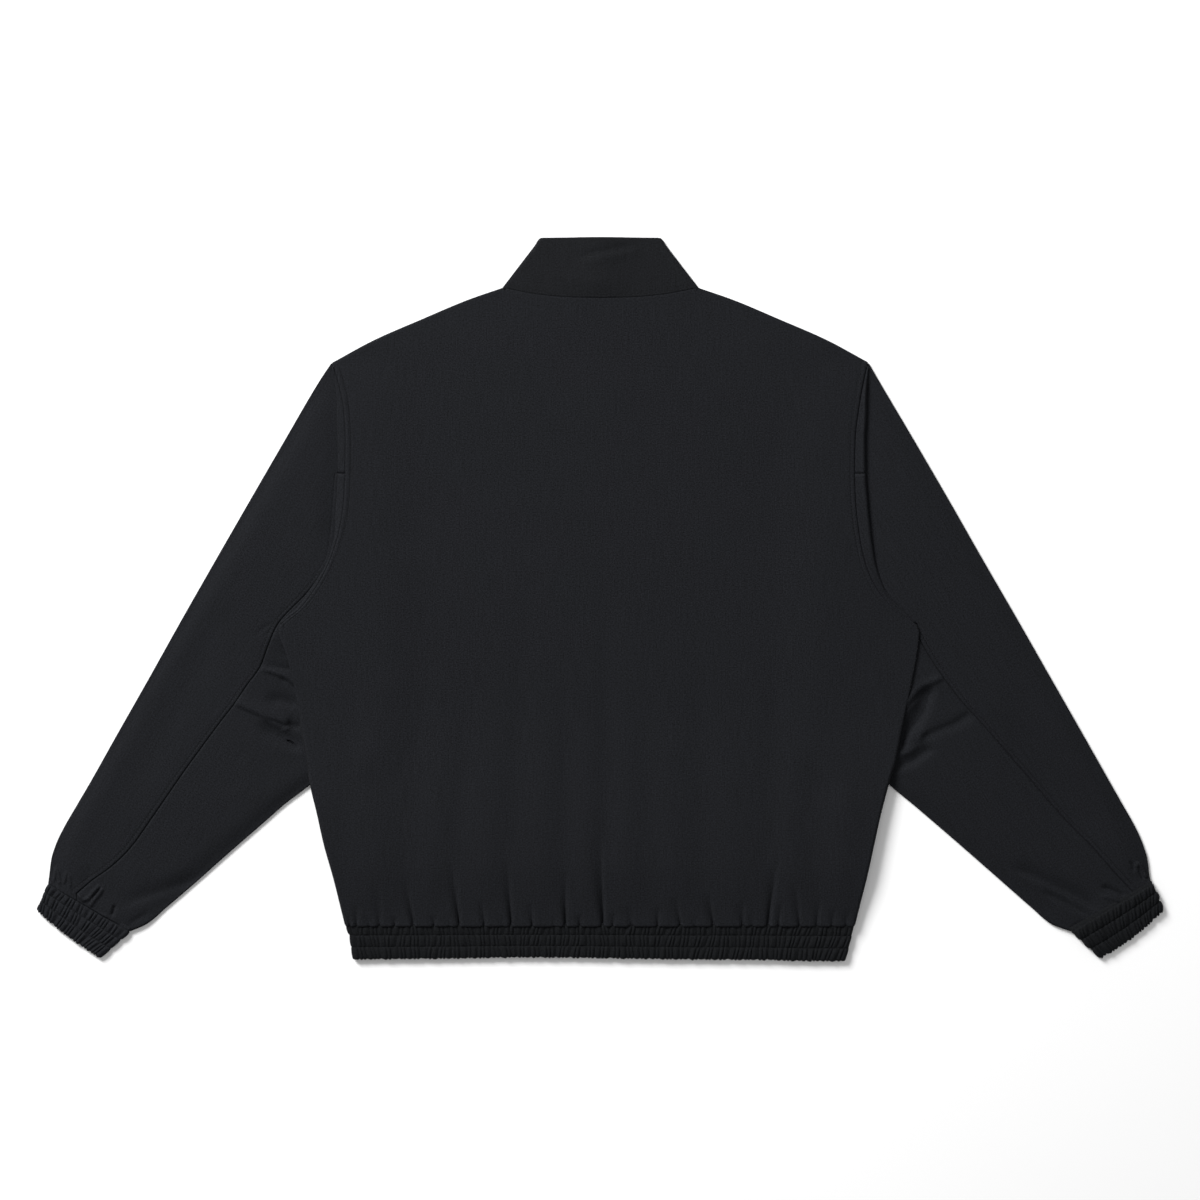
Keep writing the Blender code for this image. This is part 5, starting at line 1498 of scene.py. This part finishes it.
@dataclass
class Cuff(Ring):
    """Gathered cuff as a closed, flattened ring.

    Attributes:
        side: Which sleeve it ends.
        lean: Slant of the gathers, as a share of one.
        bow: How far the free edge bows out between its ends.
        finish: Its cloth; by default the darker trim colour, painted shade for a cuff lying away from the
            light.
        end_outer: Outer end of the free edge, (w, y).
        end_inner: Inner end of the free edge.
        seam_outer: Outer end of the seam.
        seam_inner: Inner end of the seam.
        face: Columns across each ply.
        turning: Columns round each side.
    """

    wall: float = 1.5
    gather: float = 2.8
    count: float = 19.0
    seed: float = 2.9
    scallop: float = 2.4
    top_z: float = Lay.CUFF_TOP_Z
    tilt: float = 2.6
    depth: float = 28.0
    edge_drop: float = 0.7
    edge_radius: float = 2.0
    tuck: float = 1.0
    side: Side = Side.RIGHT
    lean: float = 0.75
    bow: float = 3.4
    # The darker trim colour is painted shade for the right cuff's gathers and for its lying away from the
    # light.
    finish: WovenFinish = TRIM_PAINTED_SHADE
    end_outer: Pair = (563.0, -311.0)
    end_inner: Pair = (500.6, -358.6)
    seam_outer: Pair = (552.6, -284.3)
    seam_inner: Pair = (471.4, -332.2)
    face: int = 176
    turning: int = 7

    @property
    def seen(self) -> slice:
        """The grid's columns on the upper ply."""
        return slice(self.face + self.turning, 2 * self.face + self.turning)

    def place(self) -> Array:
        """Outer face of the ring: rows from the seam to the end, columns round the cuff."""
        v = CHANNELS.rows_from_seam()
        seam_o, seam_i, end_o, end_i = (np.array(p) for p in (self.seam_outer, self.seam_inner,
                                                              self.end_outer, self.end_inner))
        axis = (seam_o - seam_i) / np.linalg.norm(seam_o - seam_i)
        down = np.array([axis[1], -axis[0]])
        width = np.linalg.norm(end_o - end_i)
        inset, turn_z, turn_x, turn_up = self.turn(75.0, self.turning)
        inset = inset / width
        near = 0.5 * (self.top_z - self.low_z + self.wall) / width
        face, ones = np.linspace(near, 1.0 - near, self.face), np.ones(self.face)
        share = np.concatenate([face[::-1], inset, face, (1.0 - inset)[::-1]])
        z = np.concatenate([self.low_z * ones, turn_z, self.top_z * ones, turn_z[::-1]])
        out_x = np.concatenate([0 * ones, -turn_x, 0 * ones, turn_x[::-1]])
        out_z = np.concatenate([-ones, turn_up, ones, turn_up[::-1]])
        out = self.bulge(share, v, out_z, self.lean)
        upper = seam_i + (seam_o - seam_i) * share[:, None] + down * self.seam_gap
        lower = end_i + (end_o - end_i) * share[:, None]
        bow = self.bow * 4.0 * share * (1.0 - share) * v
        plan = upper + (lower - upper) * v[..., None] + down * (bow + self.wave(share, v))[..., None]
        plan = plan + axis * (out * out_x)[..., None]
        return np.concatenate([plan, (z + out * out_z - self.sink(v, out_z))[..., None]], axis=-1)

    def build(self) -> Piece:
        """Make the cuff. Mirroring turns the left grid over, so the wall changes sides with it."""
        return Cloth(f"cuff_{self.side.label}_cloth", across(self.place(), self.side), self.wall,
                     (0.256, 0.036), 0.0092, held="gathered", slot="gathered_trim", finish=self.finish,
                     closed=True, offset=float(self.side.value),
                     grain=self.side.value * math.radians(38.0)).build()


# The left cuff faces the light: its gathers are lower, and it takes the shell colour, lighter than the
# trim's, as painted light, so it shows as light as the sleeve.
LEFT_CUFF = Cuff(side=Side.LEFT, seed=0.9, gather=2.1, tilt=0.8, lean=0.0, bow=2.2, finish=SHELL_CLOTH,
                 end_outer=(564.2, -311.0))
RIGHT_CUFF = Cuff()


# ---------------------------------------------------------------------------------------------
# Sewing


@dataclass
class Stitching:
    """Rows of single stitches lying in the cloth's surface."""

    pitch: float = 3.1
    # The joining thread row in each sleeve's back seam is the seam's thread and also dark painted shade
    # for the seam's groove.
    seam_shade_thread_pitch: float = 1.9
    band_pitch: float = 2.6
    length: float = 2.3
    thickness: float = 0.56

    def row(self, path: Array, pitch: float | None = None) -> Array:
        """Stitch places along a line.

        Args:
            path: Points of the line (n, 3), mm.
            pitch: Spacing of the stitches, mm.

        Returns:
            Middle and direction of each stitch (m, 6).
        """
        pitch = pitch or self.pitch
        lengths = np.linalg.norm(np.diff(path, axis=0), axis=1)
        passed = np.concatenate([[0.0], np.cumsum(lengths)])
        middle = np.arange(0.5 * pitch, passed[-1], pitch)
        start, end = (np.stack([np.interp(middle + step, passed, path[:, k]) for k in range(3)], -1)
                      for step in (-0.5, 0.5))
        along = (end - start) / np.linalg.norm(end - start, axis=1)[:, None]
        return np.concatenate([0.5 * (start + end), along], axis=1)

    def mesh(self, name: str, stitches: Array) -> Piece:
        """All stitches as one mesh: each a six-sided spindle that dips at both ends."""
        rings = np.array([-0.5, -0.3, 0.0, 0.3, 0.5]) * self.length
        radius = np.array([0.28, 0.42, 0.5, 0.42, 0.28]) * self.thickness
        sink = np.array([-0.20, -0.05, 0.0, -0.05, -0.20])
        angle = np.radians(np.arange(0.0, 360.0, 60.0))
        middle, along = stitches[:, None, None, :3], stitches[:, None, None, 3:]
        flat = np.stack([-along[..., 1], along[..., 0], np.zeros_like(along[..., 0])], -1)
        flat = flat / np.linalg.norm(flat, axis=-1, keepdims=True)
        up = np.cross(along, flat)
        round_it = flat * np.cos(angle)[:, None] + up * np.sin(angle)[:, None]
        points = (middle + along * rings[:, None, None] + round_it * radius[:, None, None]
                  + np.array([0.0, 0.0, 1.0]) * sink[:, None, None])
        one = quads(len(rings), len(angle), closed=True).reshape(-1, 4)
        caps = np.array([[0, 5, 4, 3], [3, 2, 1, 0], [24, 25, 26, 27], [27, 28, 29, 24]])
        one = np.concatenate([one, caps])[:, ::-1]
        faces = (one + len(rings) * len(angle) * np.arange(len(stitches))[:, None, None]).reshape(-1, 4)
        piece = make_mesh(name, points.reshape(-1, 3), faces)
        piece.data.materials.append(material_of(THREAD))
        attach(piece, "jacket")
        LOG.info("%s: %d stitches", name, len(stitches))
        return piece

    def body(self, back: Back) -> None:
        """Armhole rows on the back panel and the row above the neck seam."""
        rows = []
        y = np.linspace(Lay.UNDERARM_Y + 14.0, Lay.SHOULDER_Y - 6.0, 240)
        for side in Side:
            slant = Lay.slant(y, side)
            inset = back.row_inset / np.hypot(1.0, slant)
            x = side.value * (Lay.half_width(y, side) - inset)
            at = y + inset * slant
            rows.append(self.row(np.stack([x, at, back.height(x, at) + 0.5 * back.wall - 0.1], -1)))
        self.mesh("armhole_stitching", np.concatenate(rows))

    def collar(self, collar: Collar) -> None:
        """Row on the collar just above the neck seam."""
        x = np.linspace(-94.0, 94.0, 160)
        v = collar.row_rise / (Lay.COLLAR_TOP_Y - Lay.top_edge(x) - collar.seam_gap)
        place = np.stack([collar.back_ply(np.full((1, 1), a), np.full((1, 1), b))[0, 0]
                          for a, b in zip(x, v)])
        self.mesh("neck_stitching", self.row(place + np.array([0.0, 0.0, 0.5 * collar.wall])))

    def sleeve(self, sleeve: Sleeve) -> None:
        """Row on the outer sleeve beside the back seam, and the dark joining thread sunk in the seam: a
        seam thread that also stands in as painted shade along the seam's groove.
        """
        t = np.linspace(7.6, 21.7, 300)
        width = Lay.sections(t, sleeve.side)[2]
        rows = []
        # The second row is the dark joining thread in the seam, painted shade for its groove.
        for inset, lift, pitch in ((sleeve.row_inset, 0.45, self.pitch), (0.0, -0.8, self.seam_shade_thread_pitch)):
            share = Lay.seam_share(t, sleeve.side) - inset / width
            points = sleeve.ply(t, share[:, None], True)[:, 0]
            seen = (t > 11.5) | (points[:, 0] > Lay.half_width(points[:, 1], sleeve.side) + 2.0)
            rows.append(self.row(across(points[seen], sleeve.side) + np.array([0.0, 0.0, lift]), pitch))
        self.mesh(f"sleeve_stitching_{sleeve.side.label}", np.concatenate(rows))

    def bands(self, band: Waistband, cuffs: list[Cuff]) -> None:
        """Two rows across the waistband and each cuff, at the pinched lines of their gathers."""
        lines = [line[line[:, 2] > band.top_z - 0.5] for line in band.place()[CHANNELS.stitch_rows]]
        for cuff in cuffs:
            lines.extend(across(cuff.place(), cuff.side)[CHANNELS.stitch_rows, cuff.seen])
        rows = [self.row(line - np.array([0.0, 0.0, 0.05]), self.band_pitch) for line in lines]
        self.mesh("band_stitching", np.concatenate(rows))


# ---------------------------------------------------------------------------------------------
# Zip


@dataclass
class Zip:
    """Closed zip between the fronts: teeth, and better finishes on its solid parts."""

    pitch: float = 2.5
    tooth: Triple = (3.4, 1.55, 1.15)
    crest: Pair = (0.86, 0.72)
    offset: float = 0.75
    tooth_z: float = 0.68
    top_y: float = 349.0
    bottom_y: float = -351.0

    def lift(self, y: Array) -> Array:
        """Extra height of the zip over the collar and over the waistband."""
        collar = 0.55 * ramp(y, 266.0, 279.0) + 1.35 * ramp(y, 300.0, 328.0)
        return collar + 0.55 * (1.0 - ramp(y, Lay.WAIST_Y + 4.0, Lay.WAIST_Y + 16.0))

    def teeth(self) -> Piece:
        """Two rows of teeth that mesh on the centre line: each a block with its edges taken off."""
        y = np.arange(self.bottom_y, self.top_y, 0.5 * self.pitch)
        sign = np.where(np.arange(len(y)) % 2, 1.0, -1.0)
        square = np.array([(-0.5, -0.5), (0.5, -0.5), (0.5, 0.5), (-0.5, 0.5)])
        ring = np.concatenate([np.column_stack([square * plan, np.full(4, height)]) * np.array(self.tooth)
                               for plan, height in ((self.crest, -0.5), ((1.0, 1.0), -0.31),
                                                    ((1.0, 1.0), 0.31), (self.crest, 0.5))])
        one = quads(4, 4, closed=True).reshape(-1, 4)
        one = np.concatenate([one, [[3, 2, 1, 0], [12, 13, 14, 15]]])
        middle = np.stack([sign * self.offset, y, self.tooth_z + self.lift(y)], -1)
        points = middle[:, None] + ring * np.stack([sign, np.ones_like(y), np.ones_like(y)], -1)[:, None]
        faces = one + 16 * np.arange(len(y))[:, None, None]
        faces = np.where((sign < 0)[:, None, None], faces[..., ::-1], faces)
        piece = make_mesh("zip_teeth", points.reshape(-1, 3), faces.reshape(-1, 4))
        piece.data.polygons.foreach_set("use_smooth", np.zeros(len(piece.data.polygons), dtype=bool))
        piece.data.materials.append(material_of(METAL))
        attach(piece, "jacket")
        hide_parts("zip_chain")
        LOG.info("zip_teeth: %d teeth", len(y))
        return piece

    def dress(self) -> None:
        """Give the solid parts of the zip their finishes."""
        finishes = {"zip_tape_left": TAPE, "zip_tape_right": TAPE, "zip_box": METAL, "zip_slider": METAL,
                    "zip_pull": METAL}
        for name, finish in finishes.items():
            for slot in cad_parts[name].material_slots:
                slot.material = material_of(finish)

    def build(self) -> None:
        """Make the teeth and dress the rest."""
        self.teeth()
        self.dress()


# ---------------------------------------------------------------------------------------------
# Studio


@dataclass
class Studio:
    """Pale table, soft light from the upper left and a camera straight above."""

    camera_height: float = 3.005
    key_place: Triple = (-2.47, 2.85, 2.27)
    key_power: float = 364.0
    fill_place: Triple = (0.6, 0.4, 2.6)
    fill_power: float = 8.0
    world: float = 0.38
    table_half: float = 4000.0
    table_z: float = -0.2

    def table(self) -> None:
        """A plain floor a little below the cloth."""
        half = self.table_half
        corners = ((-half, -half), (half, -half), (half, half), (-half, half))
        points = np.array([(x, y, self.table_z) for x, y in corners])
        floor = make_mesh("table", points, np.array([[0, 1, 2, 3]]))
        floor.data.materials.append(material_of(TableFinish()))

    def light(self, name: str, place: Triple, size: float, power: float) -> None:
        """A square soft light that faces the jacket.

        Args:
            name: Light name.
            place: Where it hangs, m.
            size: Side of the square, m.
            power: Watts.
        """
        data = bpy.data.lights.new(name, "AREA")
        data.shape = "SQUARE"
        data.size = size
        data.energy = power
        lamp = bpy.data.objects.new(name, data)
        lamp.location = place
        x, y, z = place
        lamp.rotation_euler = (math.atan2(math.hypot(x, y), z), 0.0, math.atan2(x, -y))
        bpy.context.scene.collection.objects.link(lamp)

    def build(self) -> None:
        """Set up table, lights, world and camera."""
        self.table()
        self.light("key", self.key_place, 1.7, self.key_power)
        self.light("fill", self.fill_place, 2.0, self.fill_power)
        world = bpy.data.worlds.new("studio")
        world.use_nodes = True
        background = world.node_tree.nodes["Background"]
        background.inputs["Color"].default_value = (1.0, 1.0, 1.0, 1.0)
        background.inputs["Strength"].default_value = self.world
        scene = bpy.context.scene
        scene.world = world
        scene.view_settings.view_transform = "Standard"
        data = bpy.data.cameras.new("camera")
        data.lens = 90.0
        data.sensor_width = 36.0
        camera = bpy.data.objects.new("camera", data)
        camera.location = (-0.0005, -0.0005, self.camera_height)
        scene.collection.objects.link(camera)
        scene.camera = camera


def main() -> None:
    """Build every piece in order and report it."""
    logging.basicConfig(level=logging.INFO, format="%(name)s: %(message)s")
    back, collar, band = Back(), Collar(), Waistband()
    sleeves = [Sleeve(side) for side in Side]
    cuffs = [LEFT_CUFF, RIGHT_CUFF]
    for side in Side:
        Front(side).build()
    back.build()
    for sleeve in sleeves:
        sleeve.build()
    collar.build()
    band.build()
    for cuff in cuffs:
        cuff.build()
    stitching = Stitching()
    stitching.body(back)
    stitching.collar(collar)
    for sleeve in sleeves:
        stitching.sleeve(sleeve)
    stitching.bands(band, cuffs)
    Zip().build()
    Studio().build()


if __name__ == "__main__":
    main()
